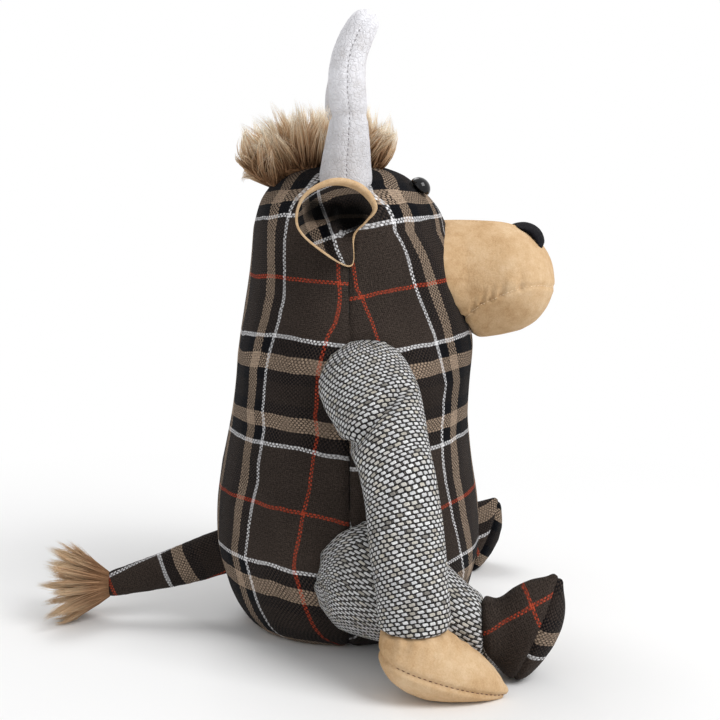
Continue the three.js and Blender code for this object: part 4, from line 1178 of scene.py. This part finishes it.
def build_ears():
    loop, ribbon = ear_rim(72)
    fine = np.linspace(0.06, 1, 40)[:, None]
    profile = ear_cup(loop, fine)
    steps = np.linalg.norm(np.diff(profile, axis=0), axis=2)
    run = np.concatenate([np.zeros((1, len(loop))), np.cumsum(steps, 0)])

    def up_to(short):
        """The share of the cup that ends the given lengths short of its rim."""
        return np.array([np.interp(run[-1, k] - short[k], run[:, k], fine[:, 0]) for k in range(len(loop))])

    fold, under = up_to(ribbon), up_to(ribbon - EAR_TUCKED_UNDER)
    wide = past(ribbon, 0.6, 4.4)
    over, behind = 0.35 + 0.3 * wide, -0.7 - 1.3 * wide
    up = np.linspace(0.06, 1, 14)[:, None]
    rim, facing, outwards = ear_layer(loop, np.ones((1, len(loop))), (over + behind) / 2)
    bend, radius = np.radians(np.linspace(15, 165, 7)), ((over - behind) / 2)[:, None]
    roll = np.array([rim[0] + radius * (-facing[0] * math.cos(a) + outwards[0] * math.sin(a)) for a in bend])
    back = np.linspace(0, 1, 5)[:, None]
    suede_rings = np.concatenate([
        ear_layer(loop, up, behind)[0], roll,
        ear_layer(loop, 1 + (fold[None] - 1) * back, over)[0],
        ear_layer(loop, fold[None] + 0 * back[:1], 0)[0],
        ear_layer(loop, fold[None] + (0.06 - fold[None]) * np.linspace(0.02, 1, 12)[:, None], -0.42)[0],
    ])
    lined = 0.06 + (under[None] - 0.06) * np.linspace(0, 1, 22)[:, None]
    front, reverse = ear_layer(loop, lined, 0.12)[0], ear_layer(loop, lined[::-1], -0.35)[0]
    length = np.stack([np.interp(lined[:, k], fine[:, 0], run[:, k]) for k in range(len(loop))], 1)
    way = loop[:, 1:] - np.array(EAR_BOTTOM[1:])
    way /= np.linalg.norm(way, axis=1)[:, None]
    cloth = way[None] * length[:, :, None]
    deep = past(cloth[:, :, 1], 4, 8)
    tucked = both_faces(EAR_CLOTH_TUCK * deep * deep * (3 - 2 * deep))
    cloth = both_faces(cloth)
    (cos, sin), (aside, higher) = EAR_CLOTH_TURN, EAR_CLOTH_SHIFT
    u = cloth[:, 0] * cos + cloth[:, 1] * sin - aside
    v = -cloth[:, 0] * sin + cloth[:, 1] * cos + higher + tucked
    # Painted shade for the lining's deep hollows: 1 is darkest, fading out round each spot
    shade = np.zeros(front.shape[:2])
    for forward, height, reach in EAR_PAINTED_SHADE:
        off = np.hypot(front[:, :, 1] - forward, front[:, :, 2] - height) / reach
        shade = np.maximum(shade, np.clip((1.6 - off) * 1.3, 0, 1))
    shade = both_faces(shade)
    for side, name in SIDES:
        outer = ear_shell(f"ear_suede_{name}", suede_rings, side)
        refined(outer)
        smooth(outer)
        dressed(outer, finish_of("tan_suede"), (f"ear_outer_{name}",))
        lining = ear_shell(f"ear_plaid_{name}", np.concatenate([front, reverse]), side)
        vertex, _ = loops_of(lining)
        write_map(lining, shade[vertex], shade[vertex], "hollow")
        write_map(lining, u[vertex] * MM, v[vertex] * MM)
        refined(lining)
        smooth(lining)
        dressed(lining, finish_of("plaid_lining"), (f"ear_lining_{name}",))


def build_arms(sizes):
    for side, name in SIDES:
        arm = pattern_of(f"arm_stuffed_{name}", (f"arm_{name}",))
        rounded(arm, voxel=3.0, passes=6)

        def held(points):
            cuff = np.clip(1 - np.abs(points[:, 2] - CUFF_HEIGHT * MM) / 0.004, 0, 1)
            shoulder = short_of(side * points[:, 0], *SHOULDER_HELD)
            return np.clip(cuff + shoulder, 0, 1)

        stuffed(arm, held, inset=0.8, cap=sizes.limb_swell / MM)
        refined(arm)
        outer = past(side * places(arm)[:, 0], *ARM_SIDE)
        fold = from_line(places(arm), SHOULDER_FOLD)
        crease = (3.4 * hump(fold, 0.0024) - 0.9 * hump(fold - 0.006, 0.004)) * MM
        move_to(arm, places(arm) - normals(arm) * (crease * outer)[:, None])
        points = places(arm)
        near_body = short_of(side * points[:, 0], *ARM_ROOT)
        points[:, 0] -= side * ROOT_SUNK * near_body
        move_to(arm, points)
        smooth(arm)
        spine_map(arm, ARM_CLOTH, side, (-side * 0.75, 0.65, 0))
        dressed(arm, finish_of("tweed_cloth"), (f"arm_{name}",))


def build_legs(sizes):
    for side, name in SIDES:
        leg = pattern_of(f"leg_stuffed_{name}", (f"leg_{name}",))
        rounded(leg, voxel=3.0, passes=6)

        def held(points):
            ankle = np.clip(1 - np.abs(-points[:, 1] - ANKLE_FORWARD * MM) / 0.004, 0, 1)
            hip = short_of(side * points[:, 0], *HIP_HELD) * (points[:, 1] > THIGH_BACK)
            return np.clip(ankle + hip, 0, 1)

        stuffed(leg, held, inset=0.8, cap=sizes.limb_swell / MM)
        refined(leg)
        outer = past(side * places(leg)[:, 0], *LEG_SIDE)
        fold = np.where(outer > 0, from_line(places(leg), THIGH_FOLD), 1)
        groove(leg, fold, depth=1.3, width=1.8)
        points = places(leg)
        near_body = short_of(side * points[:, 0], *LEG_ROOT) * (points[:, 1] > THIGH_BACK)
        points[:, 0] -= side * ROOT_SUNK * near_body
        move_to(leg, points)
        smooth(leg)
        spine_map(leg, LEG_CLOTH, side, (-side * 0.8, 0, -0.6), lengthwise=True)
        dressed(leg, finish_of("tweed_cloth"), (f"leg_{name}",))


def hoof_axes(side, pitch, toe_out):
    lift, swing = math.radians(pitch), math.radians(toe_out)
    toe = Vector((side * math.sin(swing) * math.cos(lift), -math.cos(swing) * math.cos(lift), math.sin(lift)))
    across = Vector((0, 0, 1)).cross(toe).normalized()
    return toe, across, toe.cross(across)


def stuffed_hoof(kind, name, heel, instep, cuff, sizes):
    """The two panels of a hoof as one cushion, held at its cuff and at its seam, with the seam cut in."""
    panels = (f"{kind}_upper_{name}", f"{kind}_sole_{name}")
    hoof = pattern_of(f"{kind}_stuffed_{name}", panels)
    rounded(hoof, voxel=2.5, passes=5)

    def held(points):
        return np.clip(cuff(points) + 0.8 * hump((points - heel) @ instep, 0.003), 0, 1)

    stuffed(hoof, held, inset=0.8, cap=sizes.limb_swell / MM)
    refined(hoof)
    seam_lines(hoof, heel, instep)
    groove(hoof, np.abs((places(hoof) - heel) @ instep), depth=1.6, width=1.6)
    return hoof, panels


def build_hands(sizes):
    def cuff(points):
        return past(points[:, 2], (CUFF_HEIGHT - 3) * MM, 0.003)

    for side, name in SIDES:
        heel = np.array(place(*HAND_HEEL, side))
        toe, across, instep = hoof_axes(side, HAND_PITCH, HAND_TOE_OUT)
        hand, panels = stuffed_hoof("hand", name, heel, np.array(instep), cuff, sizes)
        points = places(hand)
        points[:, 2] = np.maximum(points[:, 2], FLOOR_GAP)
        way = (points - heel) @ np.array(toe)
        pleats = np.sin(way / 0.0062 * 2 * math.pi) * 0.0004 * past(points[:, 2], 0.018, 0.012)
        tip = heel + np.array(toe) * 0.0645
        knob = 0.0012 * hump(np.linalg.norm(points - tip, axis=1), 0.004)
        move_to(hand, points + normals(hand) * (pleats + knob)[:, None])
        above_floor(hand)
        smooth(hand)
        dressed(hand, finish_of("tan_suede"), panels)
        skin, line = surface_of(hand), []
        for turn in np.radians(np.linspace(-150, 150, 181)):
            way = toe * math.cos(turn) + across * math.sin(turn)
            spot, outward, _, _ = skin.ray_cast(Vector(heel) + toe * 0.030 + way * 0.06, -way)
            if spot:
                line.append((spot, outward))
        stitched(
            f"hand_stitches_{name}", [line], pitch=2.6, stitch=1.5, thickness=0.4,
            material=finish_of("brown_thread"),
        )


def hoof_cloth_map(foot, heel, toe, instep, shift):
    """The upper's orange lines cross on its side near the toe, and the sole has its own piece of cloth."""
    vertex, face = loops_of(foot)
    upper = ((centres_of(foot) - heel) @ np.array(instep) > 0)[face]
    p = (places(foot)[vertex] - heel) / MM
    along, high = p @ np.array(toe), p @ np.array(instep)
    (ahead, above), (cos, sin), (over, on) = HOOF_CROSSING, HOOF_CLOTH_TURN, SOLE_CLOTH_SHIFT
    u = np.where(upper, (along - ahead) * cos + (high - above) * sin, over - high)
    v = np.where(upper, (along - ahead) * sin - (high - above) * cos, along + on)
    write_map(foot, (u + shift[0]) * MM, (v + shift[1]) * MM)


def build_feet(sizes):
    def cuff(points):
        return past(points[:, 1], -(ANKLE_FORWARD + 4) * MM, 0.004)

    for side, name in SIDES:
        heel = np.array(place(*FOOT_HEEL[side], side))
        toe, _, instep = hoof_axes(side, FOOT_PITCH[side], FOOT_TOE_OUT)
        foot, panels = stuffed_hoof("foot", name, heel, np.array(instep), cuff, sizes)
        above_floor(foot)
        smooth(foot)
        points = places(foot)
        tip = heel + np.array(toe) * 0.056
        knob = 0.0016 * hump(np.linalg.norm(points - tip, axis=1), 0.0045)
        move_to(foot, points + normals(foot) * knob[:, None])
        hoof_cloth_map(foot, heel, toe, instep, FOOT_CLOTH[side])
        dressed(foot, finish_of("plaid_cloth"), panels)


def build_tail():
    tail = pattern_of("tail_stuffed", ("tail",))
    rounded(tail, voxel=2.0, passes=4)

    def held(points):
        return short_of(points[:, 1], *TAIL_HELD)

    stuffed(tail, held, inset=0.6, cap=1.4)
    refined(tail)
    points = places(tail)
    root = short_of(points[:, 1], *TAIL_ROOT)
    points[:, 1] -= root * TAIL_SUNK
    points[:, 2] += root * TAIL_RAISED
    move_to(tail, points)
    smooth(tail)
    spine_map(tail, TAIL, 1, (0, 0, -1), turn=33.5, along=-71.5, wrap=0.8, askew=6)
    dressed(tail, finish_of("plaid_cloth"), ("tail",))


def strands(name, roots, paths, width, chances, pale=1.0):
    """Hairs as thin closed spikes: each follows its own path from root to tip."""
    count, steps = paths.shape[:2]
    heading = unit(paths[:, 1] - paths[:, 0])
    helper = np.where(np.abs(heading[:, 2:]) < 0.9, np.array([[0, 0, 1.0]]), np.array([[1.0, 0, 0]]))
    beside = unit(np.cross(heading, helper))
    other = np.cross(heading, beside)
    rings = []
    taper = np.sqrt(np.linspace(1, 0.12, steps - 1)) * width / 2
    for k in range(steps - 1):
        for corner in range(3):
            a = corner * 2 * math.pi / 3
            rings.append(paths[:, k] + (beside * math.cos(a) + other * math.sin(a)) * taper[k])
    rings.append(paths[:, -1])
    vertices = np.stack(rings, 1).reshape(-1, 3)
    each = 3 * (steps - 1) + 1
    faces, sizes, share = [], [], []
    for k in range(steps - 2):
        for corner in range(3):
            after = (corner + 1) % 3
            faces += [3 * k + corner, 3 * k + after, 3 * k + 3 + after, 3 * k + 3 + corner]
            share += [k / (steps - 1)] * 2 + [(k + 1) / (steps - 1)] * 2
            sizes.append(4)
    for corner in range(3):
        after = (corner + 1) % 3
        faces += [3 * (steps - 2) + corner, 3 * (steps - 2) + after, each - 1]
        share += [(steps - 2) / (steps - 1)] * 2 + [1.0]
        sizes.append(3)
    faces += [2, 1, 0]
    share += [0.0] * 3
    sizes.append(3)
    one = np.array(faces)
    corners = (one[None] + (np.arange(count) * each)[:, None]).ravel()
    totals = np.tile(sizes, count)
    mesh = bpy.data.meshes.new(name)
    mesh.vertices.add(len(vertices))
    mesh.vertices.foreach_set("co", vertices.ravel())
    mesh.loops.add(len(corners))
    mesh.loops.foreach_set("vertex_index", corners)
    mesh.polygons.add(len(totals))
    mesh.polygons.foreach_set("loop_start", np.concatenate([[0], np.cumsum(totals)[:-1]]))
    mesh.update(calc_edges=True)
    mesh.validate()
    obj = in_scene(name, mesh)
    write_map(obj, np.repeat(chances, len(one)), np.tile(share, count) * pale)
    smooth(obj)
    return obj


def swept(roots, directions, lengths, tips, steps=6):
    """Paths that leave the skin along a direction and gather at the tip of their lock."""
    knee = roots + unit(directions) * (lengths * 0.55)[:, None]
    t = np.linspace(0, 1, steps)[None, :, None]
    return (1 - t) ** 2 * roots[:, None] + 2 * t * (1 - t) * knee[:, None] + t**2 * tips[:, None]


def locks_of(roots, directions, length, count, rng, spread, jitter):
    """Shares the hairs out into locks: each lock leans its own way and its hairs end close together."""
    picked = rng.choice(len(roots), count, replace=False)
    nearest = nearest_of(roots, roots[picked])
    way = unit(unit(directions[picked]) + rng.normal(0, spread, (count, 3)))
    reach = length * rng.uniform(0.72, 1.12, count)
    ends = roots[picked] + way * reach[:, None]
    own = rng.uniform(0.82, 1.03, len(roots))
    tips = roots + (ends[nearest] - roots) * own[:, None] + rng.normal(0, jitter, roots.shape)
    return tips, reach[nearest]


def roots_on(obj, count, rng, keep):
    """Points spread over the faces of a backing, with the way out of each face."""
    obj.data.calc_loop_triangles()
    triangles = np.array([t.vertices[:] for t in obj.data.loop_triangles])
    corners = places(obj)[triangles]
    facing = np.cross(corners[:, 1] - corners[:, 0], corners[:, 2] - corners[:, 0])
    area = np.linalg.norm(facing, axis=1)
    facing /= np.maximum(area, 1e-12)[:, None]
    area = area * keep(corners.mean(1), facing)
    picked = rng.choice(len(area), count, p=area / area.sum())
    a, b = rng.random((2, count, 1))
    a, b = np.where(a + b > 1, 1 - a, a), np.where(a + b > 1, 1 - b, b)
    corner = corners[picked]
    first, second, third = corner[:, 0], corner[:, 1], corner[:, 2]
    return first + a * (second - first) + b * (third - first), facing[picked]


def backing_shown(core, points):
    """Puts the backing in its place and gives it the tone of the hair near its roots."""
    move_to(core, points)
    smooth(core)
    corners = len(core.data.loops)
    write_map(core, np.full(corners, 0.5), np.full(corners, 0.15))
    dressed(core, finish_of("brown_fur"))


def build_fringe(sizes):
    rng = np.random.default_rng(11)
    core = pattern_of("fringe_backing", ("fringe",))
    remeshed(core, voxel=2.0)
    points = places(core) - normals(core) * BACKING_INSET
    flat = FRINGE_CROWN + (points[:, 2] - FRINGE_CROWN) * 0.35
    points[:, 2] = np.where(points[:, 2] > FRINGE_CROWN, flat, points[:, 2])
    points[:, 2] -= 0.003
    points[:, 1] = FRINGE_MIDDLE + (points[:, 1] - FRINGE_MIDDLE) * 0.84
    backing_shown(core, points)

    def grows(spots, outward):
        return (outward[:, 2] > -0.9) * (spots[:, 2] > 0.226)

    roots, facing = roots_on(core, sizes.fringe_hairs, rng, grows)
    forward = -roots[:, 1]
    directions = facing * 0.6 + np.stack([
        roots[:, 0] * 12, -(forward + 0.012) * 18, np.full(len(roots), 0.95),
    ], 1)
    tips, reach = locks_of(
        roots, directions, sizes.hair_length, FRINGE_LOCKS, rng, spread=0.17, jitter=0.0007,
    )
    tips[:, 2] = np.minimum(tips[:, 2], FRINGE_TOP)
    for limit, way in FRINGE_ENDS:
        over = (tips[:, 1] - limit) * way
        tips[:, 1] -= way * np.where(over > 0, over * 0.7, 0)
    paths = swept(roots, directions + rng.normal(0, 0.1, roots.shape), reach, tips)
    hair = strands("fringe_hair", roots, paths, sizes.hair_width, rng.random(len(roots)))
    dressed(hair, finish_of("brown_fur"), ("fringe",))


def build_tuft(sizes):
    rng = np.random.default_rng(23)
    core = pattern_of("tuft_backing", ("tail_tuft",))
    remeshed(core, voxel=1.8)
    end = np.array(place(*TAIL[-1][:3]))
    points = places(core) - normals(core) * BACKING_INSET
    short = end[1] + (points[:, 1] - end[1]) * 0.4
    points[:, 1] = np.where(points[:, 1] > end[1], short, points[:, 1])
    points[:, [0, 2]] = end[[0, 2]] + (points[:, [0, 2]] - end[[0, 2]]) * 0.62
    backing_shown(core, points)
    count = sizes.tuft_hairs
    angle = rng.uniform(0, 2 * math.pi, count)
    radius = np.sqrt(rng.random(count))
    east, north = np.cos(angle) * radius, np.sin(angle) * radius
    roots = end + np.stack([east * TUFT_ROOT, np.full(count, -0.001), north * TUFT_ROOT], 1)
    directions = np.stack([east * 0.75, np.ones(count), north * 0.62], 1)
    tips, reach = locks_of(
        roots, directions, sizes.tuft_length, TUFT_LOCKS, rng, spread=0.07, jitter=0.0008,
    )
    paths = swept(roots, directions + rng.normal(0, 0.08, roots.shape), reach, tips)
    paths[:, :, 2] = np.maximum(paths[:, :, 2], 0.0010)
    hair = strands("tuft_hair", roots, paths, sizes.hair_width, rng.random(count), pale=0.68)
    dressed(hair, finish_of("brown_fur"), ("tail_tuft",))


def join(tree, *pairs):
    for start, end in pairs:
        tree.links.new(start, end)


def seen_itself(tree):
    """1 where the camera sees a thing, also through gloss or glass, and 0 where it only lends light."""
    path = tree.nodes.new("ShaderNodeLightPath")
    total = path.outputs["Is Camera Ray"]
    for ray in ("Is Glossy Ray", "Is Transmission Ray"):
        both = tree.nodes.new("ShaderNodeMath")
        both.operation, both.use_clamp = "ADD", True
        join(tree, (total, both.inputs[0]), (path.outputs[ray], both.inputs[1]))
        total = both.outputs[0]
    return total


def build_floor(sizes, colours):
    """A matt floor that takes the shadow and turns plain white further out."""
    bpy.ops.object.select_all(action="DESELECT")
    bpy.ops.mesh.primitive_plane_add(size=sizes.floor_size, location=(0, 0, 0))
    floor = bpy.context.object
    floor.name = "floor"
    material = bpy.data.materials.new("pale_floor")
    material.use_nodes = True
    tree = material.node_tree
    tree.nodes.clear()
    output = tree.nodes.new("ShaderNodeOutputMaterial")
    matt = tree.nodes.new("ShaderNodeBsdfDiffuse")
    matt.inputs["Color"].default_value = (*colours.backdrop, 1)
    glow = tree.nodes.new("ShaderNodeEmission")
    glow.inputs["Color"].default_value = (1, 1, 1, 1)
    mixed = tree.nodes.new("ShaderNodeMixShader")
    where = tree.nodes.new("ShaderNodeTexCoord")
    reach = tree.nodes.new("ShaderNodeVectorMath")
    reach.operation = "LENGTH"
    fade = tree.nodes.new("ShaderNodeMapRange")
    fade.inputs["From Min"].default_value, fade.inputs["From Max"].default_value = FLOOR_FADE
    both = tree.nodes.new("ShaderNodeMath")
    both.operation = "MULTIPLY"
    join(
        tree,
        (where.outputs["Object"], reach.inputs[0]), (reach.outputs["Value"], fade.inputs["Value"]),
        (fade.outputs[0], both.inputs[0]), (seen_itself(tree), both.inputs[1]),
        (both.outputs[0], mixed.inputs[0]), (matt.outputs[0], mixed.inputs[1]),
        (glow.outputs[0], mixed.inputs[2]), (mixed.outputs[0], output.inputs["Surface"]),
    )
    floor.data.materials.append(material)


def build_sky(scene):
    """Soft light from all round that looks plain white to the camera."""
    world = bpy.data.worlds.new("studio")
    scene.world = world
    world.use_nodes = True
    tree = world.node_tree
    tree.nodes.clear()
    output = tree.nodes.new("ShaderNodeOutputWorld")
    mixed = tree.nodes.new("ShaderNodeMixShader")
    for socket, strength in ((mixed.inputs[1], SKY_LIGHT), (mixed.inputs[2], SKY_SEEN)):
        sky = tree.nodes.new("ShaderNodeBackground")
        sky.inputs["Color"].default_value, sky.inputs["Strength"].default_value = (1, 1, 1, 1), strength
        join(tree, (sky.outputs[0], socket))
    join(tree, (seen_itself(tree), mixed.inputs[0]), (mixed.outputs[0], output.inputs["Surface"]))


def build_stage(sizes, colours):
    scene = bpy.context.scene
    scene.view_settings.view_transform = "Standard"
    build_floor(sizes, colours)
    build_sky(scene)
    for name, location, size, power in LIGHTS:
        lamp = bpy.data.lights.new(name, "AREA")
        lamp.size, lamp.energy = size, power
        light = in_scene(name, lamp)
        light.location = location
        light.rotation_euler = (Vector(LIGHTS_AIM) - Vector(location)).to_track_quat("-Z", "Y").to_euler()
    lens = bpy.data.cameras.new("camera")
    lens.sensor_width, lens.lens = 36, CAMERA_LENS
    lens.clip_start, lens.clip_end = 0.02, 20
    camera = in_scene("camera", lens)
    yaw, pitch = math.radians(CAMERA_YAW), math.radians(CAMERA_PITCH)
    ahead = CAMERA_BESIDE - CAMERA_AWAY * math.sin(yaw)
    camera.location = (-CAMERA_AWAY * math.cos(yaw), -ahead, CAMERA_HEIGHT)
    look = Vector((math.cos(yaw) * math.cos(pitch), -math.sin(yaw) * math.cos(pitch), -math.sin(pitch)))
    camera.rotation_euler = look.to_track_quat("-Z", "Y").to_euler()
    scene.camera = camera


# Operators, one for each piece or group of like pieces

class CowStopOperator:
    bl_options = {"REGISTER", "UNDO"}

    @property
    def sizes(self):
        return bpy.context.scene.cow_stop_sizes

    @property
    def colours(self):
        return bpy.context.scene.cow_stop_colours


class COWSTOP_OT_stage(CowStopOperator, bpy.types.Operator):
    """Adds the pale floor, the soft lights and the camera"""
    bl_idname = "cow_stop.stage"
    bl_label = "Stage"

    def execute(self, context):
        build_stage(self.sizes, self.colours)
        return {"FINISHED"}


class COWSTOP_OT_body(CowStopOperator, bpy.types.Operator):
    """Makes the stuffed plaid body, sewn from a front and a back panel"""
    bl_idname = "cow_stop.body"
    bl_label = "Body"

    def execute(self, context):
        build_body(self.sizes)
        return {"FINISHED"}


class COWSTOP_OT_muzzle(CowStopOperator, bpy.types.Operator):
    """Makes the suede muzzle with its chin seam, and the felt nose"""
    bl_idname = "cow_stop.muzzle"
    bl_label = "Muzzle and Nose"

    def execute(self, context):
        build_muzzle()
        build_nose()
        return {"FINISHED"}


class COWSTOP_OT_eyes(CowStopOperator, bpy.types.Operator):
    """Makes the domed eyes and finishes the washers and the sand bag inside"""
    bl_idname = "cow_stop.eyes"
    bl_label = "Eyes"

    def execute(self, context):
        build_eyes()
        return {"FINISHED"}


class COWSTOP_OT_horns(CowStopOperator, bpy.types.Operator):
    """Makes the stuffed suede horns with their seams"""
    bl_idname = "cow_stop.horns"
    bl_label = "Horns"

    def execute(self, context):
        build_horns()
        return {"FINISHED"}


class COWSTOP_OT_ears(CowStopOperator, bpy.types.Operator):
    """Makes the suede ears with their plaid linings"""
    bl_idname = "cow_stop.ears"
    bl_label = "Ears"

    def execute(self, context):
        build_ears()
        return {"FINISHED"}


class COWSTOP_OT_arms(CowStopOperator, bpy.types.Operator):
    """Makes the tweed arms and the suede hooves at their ends"""
    bl_idname = "cow_stop.arms"
    bl_label = "Arms and Hand Hooves"

    def execute(self, context):
        build_arms(self.sizes)
        build_hands(self.sizes)
        return {"FINISHED"}


class COWSTOP_OT_legs(CowStopOperator, bpy.types.Operator):
    """Makes the tweed legs and the plaid hooves at their ends"""
    bl_idname = "cow_stop.legs"
    bl_label = "Legs and Foot Hooves"

    def execute(self, context):
        build_legs(self.sizes)
        build_feet(self.sizes)
        return {"FINISHED"}


class COWSTOP_OT_tail(CowStopOperator, bpy.types.Operator):
    """Makes the plaid tail and its tuft of hair"""
    bl_idname = "cow_stop.tail"
    bl_label = "Tail and Tuft"

    def execute(self, context):
        build_tail()
        build_tuft(self.sizes)
        return {"FINISHED"}


class COWSTOP_OT_fringe(CowStopOperator, bpy.types.Operator):
    """Makes the fringe of long hair over the crown"""
    bl_idname = "cow_stop.fringe"
    bl_label = "Fringe"

    def execute(self, context):
        build_fringe(self.sizes)
        return {"FINISHED"}


class COWSTOP_PT_panel(bpy.types.Panel):
    """Lists the steps that dress the door stop, with its sizes and colours"""
    bl_idname = "COWSTOP_PT_panel"
    bl_label = "Cow Door Stop"
    bl_space_type = "VIEW_3D"
    bl_region_type = "UI"
    bl_category = "Cow Door Stop"

    def draw(self, context):
        for step in STEPS:
            self.layout.operator(step.bl_idname)
        for group in (context.scene.cow_stop_sizes, context.scene.cow_stop_colours):
            box = self.layout.box()
            for name in group.__annotations__:
                box.prop(group, name)


STEPS = (
    COWSTOP_OT_stage, COWSTOP_OT_body, COWSTOP_OT_muzzle, COWSTOP_OT_eyes, COWSTOP_OT_horns,
    COWSTOP_OT_ears, COWSTOP_OT_arms, COWSTOP_OT_legs, COWSTOP_OT_tail, COWSTOP_OT_fringe,
)
CLASSES = (CowStopSizes, CowStopColours, *STEPS, COWSTOP_PT_panel)


def register():
    for each in CLASSES:
        bpy.utils.register_class(each)
    bpy.types.Scene.cow_stop_sizes = bpy.props.PointerProperty(type=CowStopSizes)
    bpy.types.Scene.cow_stop_colours = bpy.props.PointerProperty(type=CowStopColours)


def unregister():
    del bpy.types.Scene.cow_stop_colours
    del bpy.types.Scene.cow_stop_sizes
    for each in reversed(CLASSES):
        bpy.utils.unregister_class(each)


def main():
    register()
    bpy.ops.cow_stop.stage()
    bpy.ops.cow_stop.body()
    bpy.ops.cow_stop.muzzle()
    bpy.ops.cow_stop.eyes()
    bpy.ops.cow_stop.horns()
    bpy.ops.cow_stop.ears()
    bpy.ops.cow_stop.arms()
    bpy.ops.cow_stop.legs()
    bpy.ops.cow_stop.tail()
    bpy.ops.cow_stop.fringe()


if __name__ == "__main__":
    main()
